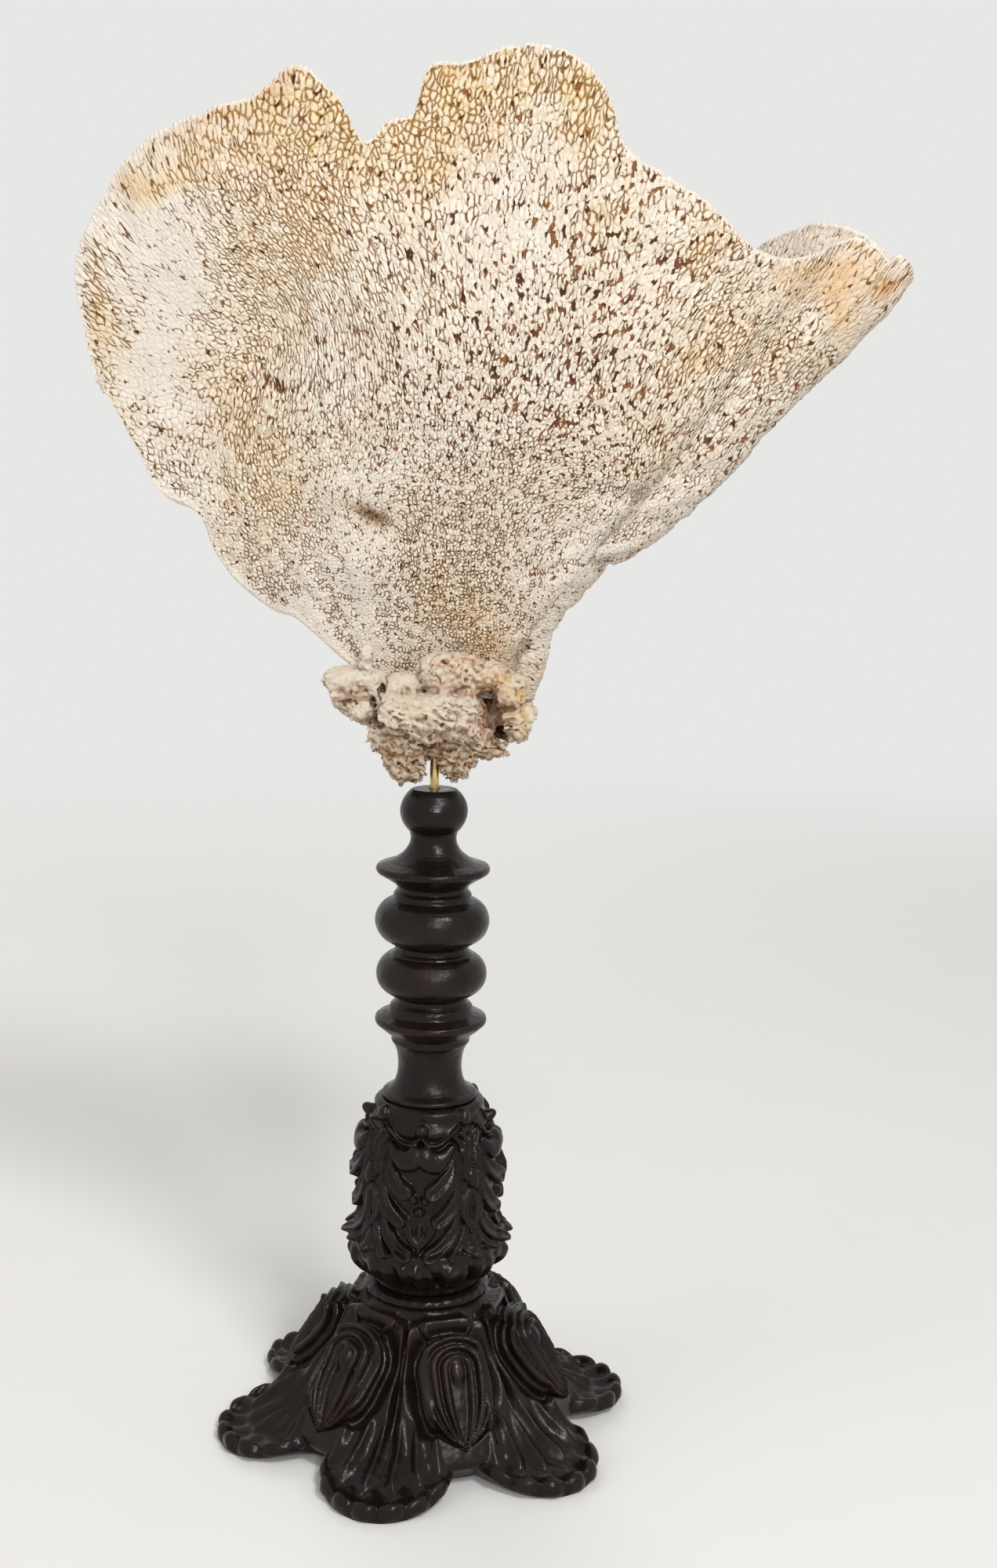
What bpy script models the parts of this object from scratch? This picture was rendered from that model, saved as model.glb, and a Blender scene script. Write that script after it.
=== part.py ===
"""A dried fan sponge on its clump of coral rubble, held by a brass rod on a dark turned and carved stand.

Six pieces, at their real size, in metres with +Z up. The stand's axis is the world Z axis and its feet rest on
Z = 0. The broad face of the sponge looks along -Y.
"""

import math

import bmesh
import bpy
import numpy as np

MM = 0.001
GAP = 0.3 * MM  # clearance between pieces that touch

# Driving dimensions: heights of the seams along the stand's axis.
BASE_TOP = 54.0 * MM
KNOP_BOTTOM = BASE_TOP + GAP
KNOP_TOP = 122.0 * MM
SPINDLE_BOTTOM = KNOP_TOP + GAP
SPINDLE_TOP = 232.0 * MM
ROD_RADIUS = 1.6 * MM
ROD_DEPTH_IN_SPINDLE = 20.0 * MM
ROD_TOP = 261.0 * MM
TENON_RADIUS = 6.0 * MM
TENON_LENGTH = 12.0 * MM

# The carved base: six leaf feet, with a drop-shaped cartouche between each pair.
FOOT_COUNT = 6
FOOT_AZIMUTH = math.radians(-12.0)  # of the front foot, measured from -Y towards +X
FOOT_HALF_ANGLE_TOP = 13.0
FOOT_HALF_ANGLE_TOE = 25.0
BASE_SIDES = 54
UNDERSIDE_RADIUS = 46.0

# The carved knop: four leaf panels over a ring of ruffles.
PANEL_COUNT = 4
PANEL_AZIMUTH = math.radians(-5.0)
PANEL_RELIEF = 2.0
RUFFLE_COUNT = 12
RUFFLE_RELIEF = 1.1
CORNER_KNOB_RELIEF = 2.2
KNOP_SIDES = 40

TURNED_STEPS = 20
ROD_SIDES = 16

# The sponge: a blade that fans out from its foot, and curls back behind itself on the right.
FOOT_LEFT_X, FOOT_RIGHT_X = -27.0, 33.0
FOOT_LEFT_Z, FOOT_RIGHT_Z = 272.0, 262.0
FOOT_Y = 4.0
FOOT_CURL_RADIUS = 8.0
FOOT_FLAP = 6.0
FOLD_COLUMNS = 3  # columns of the blade on either side of the fold, over which it turns back
BLADE_THICKNESS_FOOT = 7.0
BLADE_THICKNESS_RIM = 3.8
BLADE_BOW = 9.0  # how far the middle of the blade stands out towards -Y
BLADE_ROWS = 11
BLADE_ROOM = 0.7  # clearance between the blade's foot and the rubble grown round it
LEFT_EDGE_FADE = 22.0  # distance along the rim over which the left edge's outline dies away
RIGHT_FOLD_FADE = 50.0
LEFT_EDGE_OUTWARD = (-0.73, 0.0, -0.68)
RIGHT_FOLD_INWARD = (-0.76, 0.0, 0.64)

# Rim of the blade from the left corner, over the lobes and the notch, to the right tip (x, y, z, in mm).
FRONT_RIM = (
    (-113, 16, 365), (-118, 14, 371), (-121, 13, 384), (-124, 12, 401), (-121.5, 10, 414),
    (-116, 8, 424), (-107, 6, 438), (-94, 4, 449), (-77, 2, 456), (-62, 1, 461), (-52, 0, 468.5),
    (-46.5, 0, 469.5), (-41.5, 0, 466), (-35, -1, 460), (-29, -2, 449.5), (-27, -2, 446), (-23.5, -2, 447),
    (-18.5, -2, 452.5), (-11, -2, 454.5), (-8.5, -1, 461), (-4.5, -1, 470.5), (7.5, -1, 472), (19, -1, 476.5),
    (31, 0, 478), (44.5, 0, 473), (54, 0, 461), (59, 0, 446.5), (72.5, 0, 438), (87, 1, 429.5),
    (97.5, 1, 420), (103, 2, 415.5), (111, 2, 412.5), (121, 2, 412), (131, 3, 415), (142, 5, 415),
    (150, 7, 413.5), (155.5, 12, 408),
)
# The same rim, from behind the tip to the end of the flap that curls back.
BACK_RIM = (
    (151, 17, 412), (142, 21, 416), (130, 25, 421), (118, 28, 419.5), (106, 30, 416),
    (95, 31, 405), (88, 31, 392),
)
# How far the left edge bulges past a straight line from foot to rim: (share of the way up, mm outwards).
LEFT_EDGE = (
    (0, 0), (0.08, 1.7), (0.16, 3.2), (0.22, 4.6), (0.27, 7.9), (0.37, 10.5), (0.44, 9.9), (0.49, 8.7),
    (0.53, 6.1), (0.57, 4.4), (0.61, 5.2), (0.66, 8.4), (0.71, 8.8), (0.80, 5.6), (0.88, 3.3), (0.96, 1.0),
    (1, 0),
)
# How far the fold on the right lies inside such a line.
RIGHT_FOLD = (
    (0, 3.0), (0.05, 6.0), (0.11, 13.0), (0.15, 15.0), (0.22, 14.5), (0.28, 12.5), (0.34, 8.5), (0.40, 6.5),
    (0.50, 4.6), (0.65, 3.6), (0.80, 2.0), (0.88, -0.2), (0.93, -1.0), (1, 0),
)

# Lumps of the rubble that the sponge grew on: centre and half-sizes, in mm.
RUBBLE_LUMPS = (
    ((-27, -1, 267), (12, 9, 6)),  # left arm
    ((-28, 0, 261), (9, 8, 6)),
    ((-24, -6, 276), (3.6, 3.6, 6)),  # upright nub on the arm
    ((-3, -12, 260), (20, 9, 11)),  # front slab
    ((8, -8, 269), (13, 9, 10)),  # hump against the blade
    ((24, -3, 268), (10, 9, 8)),  # right arch
    ((29, -2, 257), (7, 7, 11)),
    ((18, 3, 250), (7, 6, 6)),
    ((0, 3, 255), (18, 12, 14)),  # core
    ((-12.5, -2, 243), (8.5, 9, 10.5)),  # lower left chunk
    ((8.5, 1, 243), (7.8, 9, 10)),  # lower right chunk
    ((-4, 17, 260), (25, 12, 12)),  # behind the blade
    ((24, 13, 256), (11, 12, 12)),
)
LUMP_ROUGHNESS = 0.09
LUMP_WAVES = (5.0, 4.0, 6.0)  # waves of roughness round a lump, along X, Y and Z
LUMP_SUBDIVISIONS = 3
RUBBLE_VOXEL = 4.7 * MM
DRILL_START = 225.0 * MM


def collection(name):
    made = bpy.data.collections.new(name)
    bpy.context.scene.collection.children.link(made)
    return made


def material(name, color, roughness, metallic=0.0):
    made = bpy.data.materials.new(name)
    made.use_nodes = True
    shader = made.node_tree.nodes["Principled BSDF"]
    shader.inputs["Base Color"].default_value = (*color, 1.0)
    shader.inputs["Roughness"].default_value = roughness
    shader.inputs["Metallic"].default_value = metallic
    made.diffuse_color = (*color, 1.0)
    return made


def mesh_object(name, points, faces, group, look=None, edges=()):
    mesh = bpy.data.meshes.new(name)
    mesh.from_pydata([tuple(map(float, point)) for point in points], edges, faces)
    mesh.validate()
    if look:
        mesh.materials.append(look)
    made = bpy.data.objects.new(name, mesh)
    group.objects.link(made)
    return made


def smooth(made, sharp_degrees=40.0):
    made.data.shade_smooth()
    made.data.set_sharp_from_angle(angle=math.radians(sharp_degrees))


def cutter(made):
    made.hide_render = True
    made.display_type = "WIRE"
    return made


def subtract(made, tool):
    boolean = made.modifiers.new("cut_" + tool.name, "BOOLEAN")
    boolean.operation = "DIFFERENCE"
    boolean.object = tool
    boolean.use_self = True


def arc(centre, radii, start, stop, count):
    """Points of an elliptic arc in the (radius, height) plane, from start to stop degrees."""
    angles = np.radians(np.linspace(start, stop, count))
    return [(centre[0] + radii[0] * math.cos(a), centre[1] + radii[1] * math.sin(a)) for a in angles]


def step_between(low, high, value):
    """0 below low, 1 above high, and a smooth rise between."""
    share = np.clip((value - low) / (high - low), 0.0, 1.0)
    return share * share * (3.0 - 2.0 * share)


def turned(name, profile, group, look):
    """A turned piece: its outline, in mm from the axis and up, runs down the outer side and turns round Z."""
    points = [(radius * MM, 0.0, height * MM) for radius, height in profile]
    edges = [(i, i + 1) for i in range(len(points) - 1)]
    made = mesh_object(name, points, [], group, look, edges)
    screw = made.modifiers.new("turning", "SCREW")
    screw.angle = math.tau
    screw.steps = TURNED_STEPS
    screw.render_steps = TURNED_STEPS
    screw.use_merge_vertices = True
    screw.merge_threshold = 0.01 * MM
    screw.use_smooth_shade = True
    return made


def polar_loft(name, rows, sides, group, look):
    """A carved round piece: rows of (radius, height), each an array over the sides, closed at two axis points."""
    azimuths = np.arange(sides) * math.tau / sides
    points = [(0.0, 0.0, float(np.mean(rows[0][1])) * MM)]
    for radius, height in rows:
        ring = np.stack([radius * np.sin(azimuths), -radius * np.cos(azimuths), height], axis=1)
        points.extend(ring * MM)
    points.append((0.0, 0.0, float(np.mean(rows[-1][1])) * MM))
    last = len(points) - 1
    faces = []
    for side in range(sides):
        following = (side + 1) % sides
        faces.append((0, 1 + side, 1 + following))
        for row in range(len(rows) - 1):
            upper, lower = 1 + row * sides, 1 + (row + 1) * sides
            faces.append((upper + side, lower + side, lower + following, upper + following))
        bottom = 1 + (len(rows) - 1) * sides
        faces.append((last, bottom + following, bottom + side))
    made = mesh_object(name, points, faces, group, look)
    smooth(made)
    return made


def socket_rows(top, depth):
    """Rows of a round socket for a tenon, from its floor up to the mouth (heights in mm)."""
    radius = (TENON_RADIUS + GAP) / MM
    return [(radius, top - depth), (radius, top)]


def foot_angle(azimuths):
    """Degrees from the middle of the nearest foot: 0 on a foot, 30 on a cartouche."""
    pitch = 360.0 / FOOT_COUNT
    turned_by = np.degrees(azimuths - FOOT_AZIMUTH)
    return np.abs((turned_by + pitch / 2) % pitch - pitch / 2)


def make_base(group, look):
    """The carved foot: each row blends a foot's outline with a cartouche's, by the angle from the foot."""
    foot = ((22, 47.5), (26, 43.5), (30.5, 38), (34.5, 31.5), (38.5, 25), (44, 18), (52, 11.5),
            (60, 7.5), (66, 4), (70, 4), (73.5, 5.4), (75, 3.4), (74.6, 0))
    cartouche = ((23.5, 48.5), (29, 46.5), (34, 43), (38.5, 38), (42.5, 32), (46, 26), (49, 20),
                 (51.5, 15), (53.5, 11), (54, 9.5), (54, 8.5), (53.4, 7), (52, 6))
    azimuths = np.arange(BASE_SIDES) * math.tau / BASE_SIDES
    off_foot = foot_angle(azimuths)
    top = BASE_TOP / MM
    flat = np.ones(BASE_SIDES)
    rows = [(radius * flat, height * flat) for radius, height in socket_rows(top, (TENON_LENGTH + GAP) / MM)]
    collar = ((20, top), (21.5, top - 1.5), (21.5, top - 4.5))
    rows += [(radius * flat, height * flat) for radius, height in collar]
    for index, (toe, drop) in enumerate(zip(foot, cartouche)):
        share = index / (len(foot) - 1)
        half_angle = FOOT_HALF_ANGLE_TOP + (FOOT_HALF_ANGLE_TOE - FOOT_HALF_ANGLE_TOP) * share
        weight = np.clip(1.0 - (off_foot / half_angle) ** 2, 0.0, 1.0) ** 0.8
        rows.append((drop[0] + (toe[0] - drop[0]) * weight, drop[1] + (toe[1] - drop[1]) * weight))
    rows.append((UNDERSIDE_RADIUS * flat, 0.0 * flat))
    return polar_loft("carved_base", rows, BASE_SIDES, group, look)


def make_knop(group, look):
    """The carved urn: a turned outline that carries four leaf panels, corner knobs and a ring of ruffles."""
    outline = ((17.5, 122), (19.3, 120.5), (19.6, 117.5), (22.6, 113), (25.6, 107), (27.2, 100), (27.2, 92),
               (26.6, 84), (26.8, 77), (28.2, 71), (28.0, 66), (25.4, 62.5), (20, 60))
    azimuths = np.arange(KNOP_SIDES) * math.tau / KNOP_SIDES
    flat = np.ones(KNOP_SIDES)
    panel = np.clip(np.cos(PANEL_COUNT * (azimuths - PANEL_AZIMUTH)) + 0.35, 0.0, 1.0)
    corner = np.clip(-np.cos(PANEL_COUNT * (azimuths - PANEL_AZIMUTH)) - 0.7, 0.0, 0.3) / 0.3
    ruffle = 0.5 + 0.5 * np.cos(RUFFLE_COUNT * (azimuths - PANEL_AZIMUTH))
    rows = [
        (radius * flat, height * flat)
        for radius, height in socket_rows(KNOP_TOP / MM, (TENON_LENGTH + GAP) / MM)
    ]
    for radius, height in outline:
        on_panel = step_between(74.0, 79.0, height) * (1.0 - step_between(112.0, 117.0, height))
        on_ruffles = step_between(61.0, 64.0, height) * (1.0 - step_between(71.0, 76.0, height))
        on_corner = step_between(112.0, 117.0, height) * (1.0 - step_between(120.0, 122.0, height))
        relief = PANEL_RELIEF * on_panel * panel + RUFFLE_RELIEF * on_ruffles * ruffle
        relief = relief + CORNER_KNOB_RELIEF * on_corner * corner
        rows.append((radius + relief, height * flat))
    bottom = KNOP_BOTTOM / MM
    tenon = TENON_RADIUS / MM
    for radius, height in ((19, bottom), (tenon, bottom), (tenon, bottom - TENON_LENGTH / MM)):
        rows.append((radius * flat, height * flat))
    return polar_loft("carved_knop", rows, KNOP_SIDES, group, look)


def make_spindle(group, look):
    """The turned column: a ball, a flaring disc, two beads, a second disc and a waisted neck on its tenon."""
    top, bottom = SPINDLE_TOP / MM, SPINDLE_BOTTOM / MM
    hole = (ROD_RADIUS + GAP) / MM
    hole_floor = top - (ROD_DEPTH_IN_SPINDLE + GAP) / MM
    tenon, tenon_end = TENON_RADIUS / MM, (SPINDLE_BOTTOM - TENON_LENGTH) / MM
    profile = [(0, hole_floor), (hole, hole_floor), (hole, top)]
    profile += arc((0, 224.3), (11.7, 10.2), 49, -44, 8)
    profile += [(7.9, 215.2), (8.6, 212.6), (11.0, 209.4), (15.0, 206.7), (19.2, 205.2)]
    profile += [(19.8, 204.0), (19.2, 202.6), (12.6, 198.2), (12.3, 196.6), (13.6, 195.2), (13.6, 193.6)]
    profile += arc((12.5, 185.6), (7.5, 7.8), 66, -66, 7)
    profile += [(12.9, 176.6), (12.9, 175.2), (14.0, 173.8)]
    profile += arc((12.5, 166.6), (6.9, 7.3), 64, -64, 7)
    profile += [(12.8, 158.4), (12.8, 156.8), (14.6, 154.6), (14.8, 152.9), (18.8, 151.4), (19.6, 150.0)]
    profile += [(19.0, 148.0), (14.0, 144.6), (13.8, 142.2), (11.6, 138.0), (11.2, 132.5), (12.2, 127.6)]
    profile += [(16.6, 123.6), (16.8, bottom), (tenon, bottom), (tenon, tenon_end), (0, tenon_end)]
    return turned("spindle", profile, group, look)


def upright_cylinder(name, radius, bottom, top, group):
    """A cylinder on the stand's axis."""
    bpy.ops.mesh.primitive_cylinder_add(
        vertices=ROD_SIDES, radius=radius, depth=top - bottom, location=(0, 0, (top + bottom) / 2)
    )
    made = bpy.context.active_object
    made.name = name
    for holder in list(made.users_collection):
        holder.objects.unlink(made)
    group.objects.link(made)
    return made


def make_rod(group, look):
    made = upright_cylinder("mounting_rod", ROD_RADIUS, SPINDLE_TOP - ROD_DEPTH_IN_SPINDLE, ROD_TOP, group)
    made.data.materials.append(look)
    smooth(made)
    return made


def blade_grid():
    """The middle surface of the sponge blade, in mm, as rows from foot to rim.

    Straight rulings join the foot line to the rim. The left edge, the fold on the right and a bow towards -Y
    are then added, each with a weight that fades along the rim.
    """
    rim = np.array(FRONT_RIM + BACK_RIM, dtype=float)
    along = np.concatenate([[0.0], np.cumsum(np.linalg.norm(np.diff(rim, axis=0), axis=1))])
    fold = len(FRONT_RIM) - 1
    turn_start, turn_end = fold - FOLD_COLUMNS, fold + FOLD_COLUMNS
    turn = math.pi * step_between(turn_start, turn_end, np.arange(len(rim)))
    across = np.clip(along / along[turn_start], 0.0, 1.0)
    flap = np.clip((along - along[turn_end]) / (along[-1] - along[turn_end]), 0.0, 1.0)
    turn_x = FOOT_RIGHT_X - FOOT_CURL_RADIUS
    foot = np.stack([
        FOOT_LEFT_X + (turn_x - FOOT_LEFT_X) * across + FOOT_CURL_RADIUS * np.sin(turn) - FOOT_FLAP * flap,
        FOOT_Y + FOOT_CURL_RADIUS * (1.0 - np.cos(turn)),
        FOOT_LEFT_Z + (FOOT_RIGHT_Z - FOOT_LEFT_Z) * across,
    ], axis=1)
    near_left = np.exp(-(along / LEFT_EDGE_FADE) ** 2)
    near_fold = np.exp(-((along - along[fold]) / RIGHT_FOLD_FADE) ** 2)
    bow = np.sin(math.pi * np.clip(along / along[fold], 0.0, 1.0))
    rows = []
    for up in np.linspace(0.0, 1.0, BLADE_ROWS):
        row = foot + (rim - foot) * up
        row = row + np.interp(up, *np.array(LEFT_EDGE).T) * near_left[:, None] * np.array(LEFT_EDGE_OUTWARD)
        row = row + np.interp(up, *np.array(RIGHT_FOLD).T) * near_fold[:, None] * np.array(RIGHT_FOLD_INWARD)
        row[:, 1] -= BLADE_BOW * bow * math.sin(math.pi * up)
        rows.append(row)
    return np.array(rows)


def make_blade(name, group, look=None):
    """The blade as a sheet with a Solidify that thins from foot to rim."""
    grid = blade_grid()
    rows, columns = grid.shape[:2]
    index = np.arange(rows * columns).reshape(rows, columns)
    corners = [index[:-1, :-1], index[:-1, 1:], index[1:, 1:], index[1:, :-1]]
    faces = np.stack(corners, axis=-1).reshape(-1, 4)
    made = mesh_object(name, grid.reshape(-1, 3) * MM, faces.tolist(), group, look)
    thickness = made.vertex_groups.new(name="thickness")
    for row in range(rows):
        wanted = BLADE_THICKNESS_FOOT + (BLADE_THICKNESS_RIM - BLADE_THICKNESS_FOOT) * row / (rows - 1)
        thickness.add(index[row].tolist(), wanted / BLADE_THICKNESS_FOOT, "REPLACE")
    shell = made.modifiers.new("thickness", "SOLIDIFY")
    shell.thickness = BLADE_THICKNESS_FOOT * MM
    shell.offset = 0.0
    shell.vertex_group = thickness.name
    shell.thickness_vertex_group = 0.0
    smooth(made, 60.0)
    return made


def make_blade_room(group):
    """A copy of the blade, swollen all over, that leaves room for it in the rubble."""
    made = cutter(make_blade("blade_room", group))
    swell = made.modifiers.new("swell", "DISPLACE")
    swell.mid_level = 0.0
    swell.strength = BLADE_ROOM * MM
    return made


def make_rubble(group, cutters, look, blade_room):
    """The clump: overlapping lumps fused by a voxel Remesh, then cut for the blade's foot and the rod."""
    mesh = bmesh.new()
    for centre, half_sizes in RUBBLE_LUMPS:
        added = bmesh.ops.create_icosphere(mesh, subdivisions=LUMP_SUBDIVISIONS, radius=1.0)["verts"]
        for vertex in added:
            way = tuple(vertex.co)
            wobble = math.prod(math.sin(waves * v + c) for waves, v, c in zip(LUMP_WAVES, way, centre))
            grown = 1.0 + LUMP_ROUGHNESS * wobble
            vertex.co = [MM * (c + h * grown * v) for c, h, v in zip(centre, half_sizes, way)]
    data = bpy.data.meshes.new("root_rock")
    mesh.to_mesh(data)
    mesh.free()
    data.materials.append(look)
    made = bpy.data.objects.new("root_rock", data)
    group.objects.link(made)
    fuse = made.modifiers.new("fuse", "REMESH")
    fuse.mode = "VOXEL"
    fuse.voxel_size = RUBBLE_VOXEL
    subtract(made, blade_room)
    drill = upright_cylinder("rod_drill", ROD_RADIUS + GAP, DRILL_START, ROD_TOP + GAP, cutters)
    subtract(made, cutter(drill))
    return made


def main():
    for old in list(bpy.data.objects):
        bpy.data.objects.remove(old, do_unlink=True)
    pieces = collection("sea_sponge_on_stand")
    cutters = collection("cutters")
    dark_wood = material("dark_wood", (0.020, 0.012, 0.009), 0.28)
    brass = material("brass", (0.72, 0.56, 0.24), 0.25, metallic=1.0)
    sponge_look = material("dried_sponge", (0.78, 0.66, 0.50), 0.85)
    rubble_look = material("coral_rubble", (0.74, 0.62, 0.50), 0.9)
    make_base(pieces, dark_wood)
    make_knop(pieces, dark_wood)
    make_spindle(pieces, dark_wood)
    make_rod(pieces, brass)
    make_blade("sponge", pieces, sponge_look)
    make_rubble(pieces, cutters, rubble_look, make_blade_room(cutters))


main()
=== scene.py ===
"""A dried fan sponge on its clump of coral rubble, held by a brass rod on a dark turned and carved stand.

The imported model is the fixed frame. Each of its six nodes is replaced by a detailed piece of the same size and
place. Shapes are worked out in millimetres in the frame's own axes and turned into metres when the mesh is made:
+Z up the stand's axis, the broad face of the sponge towards -Y.
"""

import math

import bpy
import numpy as np
from bpy.props import FloatProperty, FloatVectorProperty, IntProperty, PointerProperty
from mathutils import Matrix, Vector


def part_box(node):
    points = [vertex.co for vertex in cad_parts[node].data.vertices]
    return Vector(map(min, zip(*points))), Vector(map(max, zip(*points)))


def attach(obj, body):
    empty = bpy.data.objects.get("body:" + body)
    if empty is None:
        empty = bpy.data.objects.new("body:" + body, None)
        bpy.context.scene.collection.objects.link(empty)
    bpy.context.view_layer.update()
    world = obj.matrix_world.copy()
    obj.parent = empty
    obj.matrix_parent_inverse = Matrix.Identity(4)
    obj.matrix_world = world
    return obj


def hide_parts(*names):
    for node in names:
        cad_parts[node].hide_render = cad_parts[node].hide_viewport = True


bl_info = {
    "name": "Sea Sponge on a Carved Stand",
    "version": (1, 0, 0),
    "blender": (4, 5, 0),
    "location": "3D View > Sidebar > Sea Sponge",
    "description": "Builds a mounted sea sponge, its carved stand and a plain studio",
    "category": "Add Mesh",
}

MM = 0.001
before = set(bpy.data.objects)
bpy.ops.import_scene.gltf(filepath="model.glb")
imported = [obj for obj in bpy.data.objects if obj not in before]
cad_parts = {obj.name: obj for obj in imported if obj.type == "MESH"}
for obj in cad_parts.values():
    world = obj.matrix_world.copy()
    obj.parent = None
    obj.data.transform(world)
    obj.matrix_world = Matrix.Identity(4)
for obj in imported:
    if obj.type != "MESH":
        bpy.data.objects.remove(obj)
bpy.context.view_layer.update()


def height_of(node, corner):
    """Lowest (0) or highest (1) point of a CAD node, in mm."""
    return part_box(node)[corner].z / MM


BASE_TOP = height_of("carved_base", 1)
KNOP_TENON_END = height_of("carved_knop", 0)
KNOP_TOP = height_of("carved_knop", 1)
SPINDLE_TENON_END = height_of("spindle", 0)
SPINDLE_TOP = height_of("spindle", 1)
ROD_BOTTOM = height_of("mounting_rod", 0)
ROD_TOP = height_of("mounting_rod", 1)
ROD_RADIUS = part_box("mounting_rod")[1].x / MM
# Play between a tenon or the rod and its socket, and the radius of the tenons.
GAP = 0.3
TENON_RADIUS = 6.0
# Where outlines stop short of the axis, so that the poles close them.
POLE_RADIUS = 0.05


# ------------ patterns worked out on whole arrays

LATTICE_SIDE = 64
LATTICE = np.random.default_rng(11).random((LATTICE_SIDE,) * 3 + (4,))


def step_between(low, high, value):
    """0 below low, 1 above high, and a smooth cubic rise between."""
    share = np.clip((value - low) / (high - low), 0.0, 1.0)
    return share * share * (3.0 - 2.0 * share)


def bell(across, along=0.0):
    """1 at the centre, falling off all round as a Gaussian of the two scaled distances."""
    return np.exp(-(across**2) - along**2)


def noise(points, grain, layer):
    """Value noise from -1 to 1: a random number at each lattice point `grain` mm apart, blended smoothly."""
    where = points / grain + 17.3 * layer
    cell = np.floor(where).astype(int)
    share = where - cell
    share = share * share * (3.0 - 2.0 * share)
    total = np.zeros(points.shape[:-1])
    for corner in np.ndindex(2, 2, 2):
        index = (cell + corner) % LATTICE_SIDE
        weight = np.prod(np.where(corner, share, 1.0 - share), axis=-1)
        total += weight * LATTICE[index[..., 0], index[..., 1], index[..., 2], layer % 4]
    return 2.0 * total - 1.0


def noise_shift(points, grain):
    """Three layers of noise, as a shift along X, Y and Z."""
    return np.stack([noise(points, grain, layer) for layer in range(3)], axis=-1)


def fractal(points, grain, octaves, layer):
    """Noise summed over grains that halve, each at half the strength of the last."""
    return sum(noise(points, grain / 2**k, layer + k) / 2**k for k in range(octaves))


def nearest_seeds(points, spacing, layer):
    """Distances to the nearest and next nearest of scattered seeds, and a random number of the nearest.

    One seed lies at a random place in each lattice cell `spacing` mm wide. Distances are in cells.
    """
    where = points / spacing + 5.7 * layer
    cell = np.floor(where).astype(int)
    first = np.full(points.shape[:-1], 9.0)
    second = first.copy()
    chance = np.zeros_like(first)
    for offset in np.ndindex(3, 3, 3):
        near = cell + offset - 1
        index = near % LATTICE_SIDE
        draw = LATTICE[index[..., 0], index[..., 1], index[..., 2]]
        away = np.linalg.norm(where - near - draw[..., :3], axis=-1)
        closer = away < first
        second = np.where(closer, first, np.minimum(second, away))
        chance = np.where(closer, draw[..., 3], chance)
        first = np.where(closer, away, first)
    return first, second, chance


def unit(vectors):
    """Vectors divided by their lengths."""
    return vectors / np.maximum(np.linalg.norm(vectors, axis=-1, keepdims=True), 1e-9)


def smooth_curve(points, steps):
    """Catmull-Rom curve: on each span a cubic whose end slopes are half the chord between the neighbours."""
    points = np.asarray(points, dtype=float)
    padded = np.vstack([2 * points[0] - points[1], points, 2 * points[-1] - points[-2]])
    share = np.linspace(0.0, 1.0, steps, endpoint=False)[None, :, None]
    a, b, c, d = (padded[k:len(padded) - 3 + k, None] for k in range(4))
    cubic = 2 * b + (c - a) * share + (2 * a - 5 * b + 4 * c - d) * share**2 + (3 * b - a - 3 * c + d) * share**3
    return np.vstack([0.5 * cubic.reshape(-1, points.shape[1]), points[-1]])


def path_lengths(points):
    """Distance along a path at each of its points."""
    return np.concatenate([[0.0], np.cumsum(np.linalg.norm(np.diff(points, axis=0), axis=1))])


def smoothed(values, spacing, rounding, reach, **padding):
    """Evenly spaced values under a Gaussian of the given radius, after their ends are carried on past it."""
    kernel = np.exp(-0.5 * (np.arange(-reach, reach + 1) * spacing / rounding) ** 2)
    kernel /= kernel.sum()
    return np.convolve(np.pad(values, reach, **padding), kernel, mode="valid")


def even_path(points, spacing, rounding):
    """The path resampled at an even spacing, with its corners eased by a Gaussian of the given radius."""
    points = np.asarray(points, dtype=float)
    along = path_lengths(points)
    wanted = np.linspace(0.0, along[-1], max(3, int(along[-1] / spacing)))
    reach = int(math.ceil(3 * rounding / spacing))
    return np.stack([
        smoothed(np.interp(wanted, along, column), spacing, rounding, reach, mode="reflect", reflect_type="odd")
        for column in points.T
    ], axis=1)


# ------------ meshes

def signed_volume(points, quads, triangles):
    """Volume inside the faces: a sixth of the sum of the triple products of their triangles."""
    faces = np.concatenate([quads[:, [0, 1, 2]], quads[:, [0, 2, 3]], triangles])
    a, b, c = (points[faces[:, k]] for k in range(3))
    return np.einsum("ij,ij->", a, np.cross(b, c)) / 6.0


def make_piece(name, points, quads, triangles, look, fan=None, marks=None):
    """A mesh object from points in mm and faces that are turned outwards, with an optional UV map and marks."""
    triangles = np.asarray(triangles, dtype=int).reshape(-1, 3)
    if signed_volume(points, quads, triangles) < 0.0:
        quads, triangles = quads[:, ::-1], triangles[:, ::-1]
    corners = np.concatenate([quads.ravel(), triangles.ravel()]).astype(np.int32)
    starts = np.concatenate([np.arange(len(quads)) * 4, 4 * len(quads) + np.arange(len(triangles)) * 3])
    mesh = bpy.data.meshes.new(name)
    mesh.vertices.add(len(points))
    mesh.vertices.foreach_set("co", (points * MM).astype(np.float32).ravel())
    mesh.loops.add(len(corners))
    mesh.loops.foreach_set("vertex_index", corners)
    mesh.polygons.add(len(starts))
    mesh.polygons.foreach_set("loop_start", starts.astype(np.int32))
    mesh.update(calc_edges=True)
    if fan is not None:
        layer = mesh.uv_layers.new(name="fan")
        layer.data.foreach_set("uv", fan[corners].astype(np.float32).ravel())
    for mark, values in (marks or {}).items():
        attribute = mesh.attributes.new(mark, "FLOAT", "POINT")
        attribute.data.foreach_set("value", np.clip(values, 0.0, 1.0).astype(np.float32))
    mesh.validate()
    mesh.shade_smooth()
    mesh.materials.append(look)
    piece = bpy.data.objects.new(name, mesh)
    bpy.context.scene.collection.objects.link(piece)
    return piece


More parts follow.
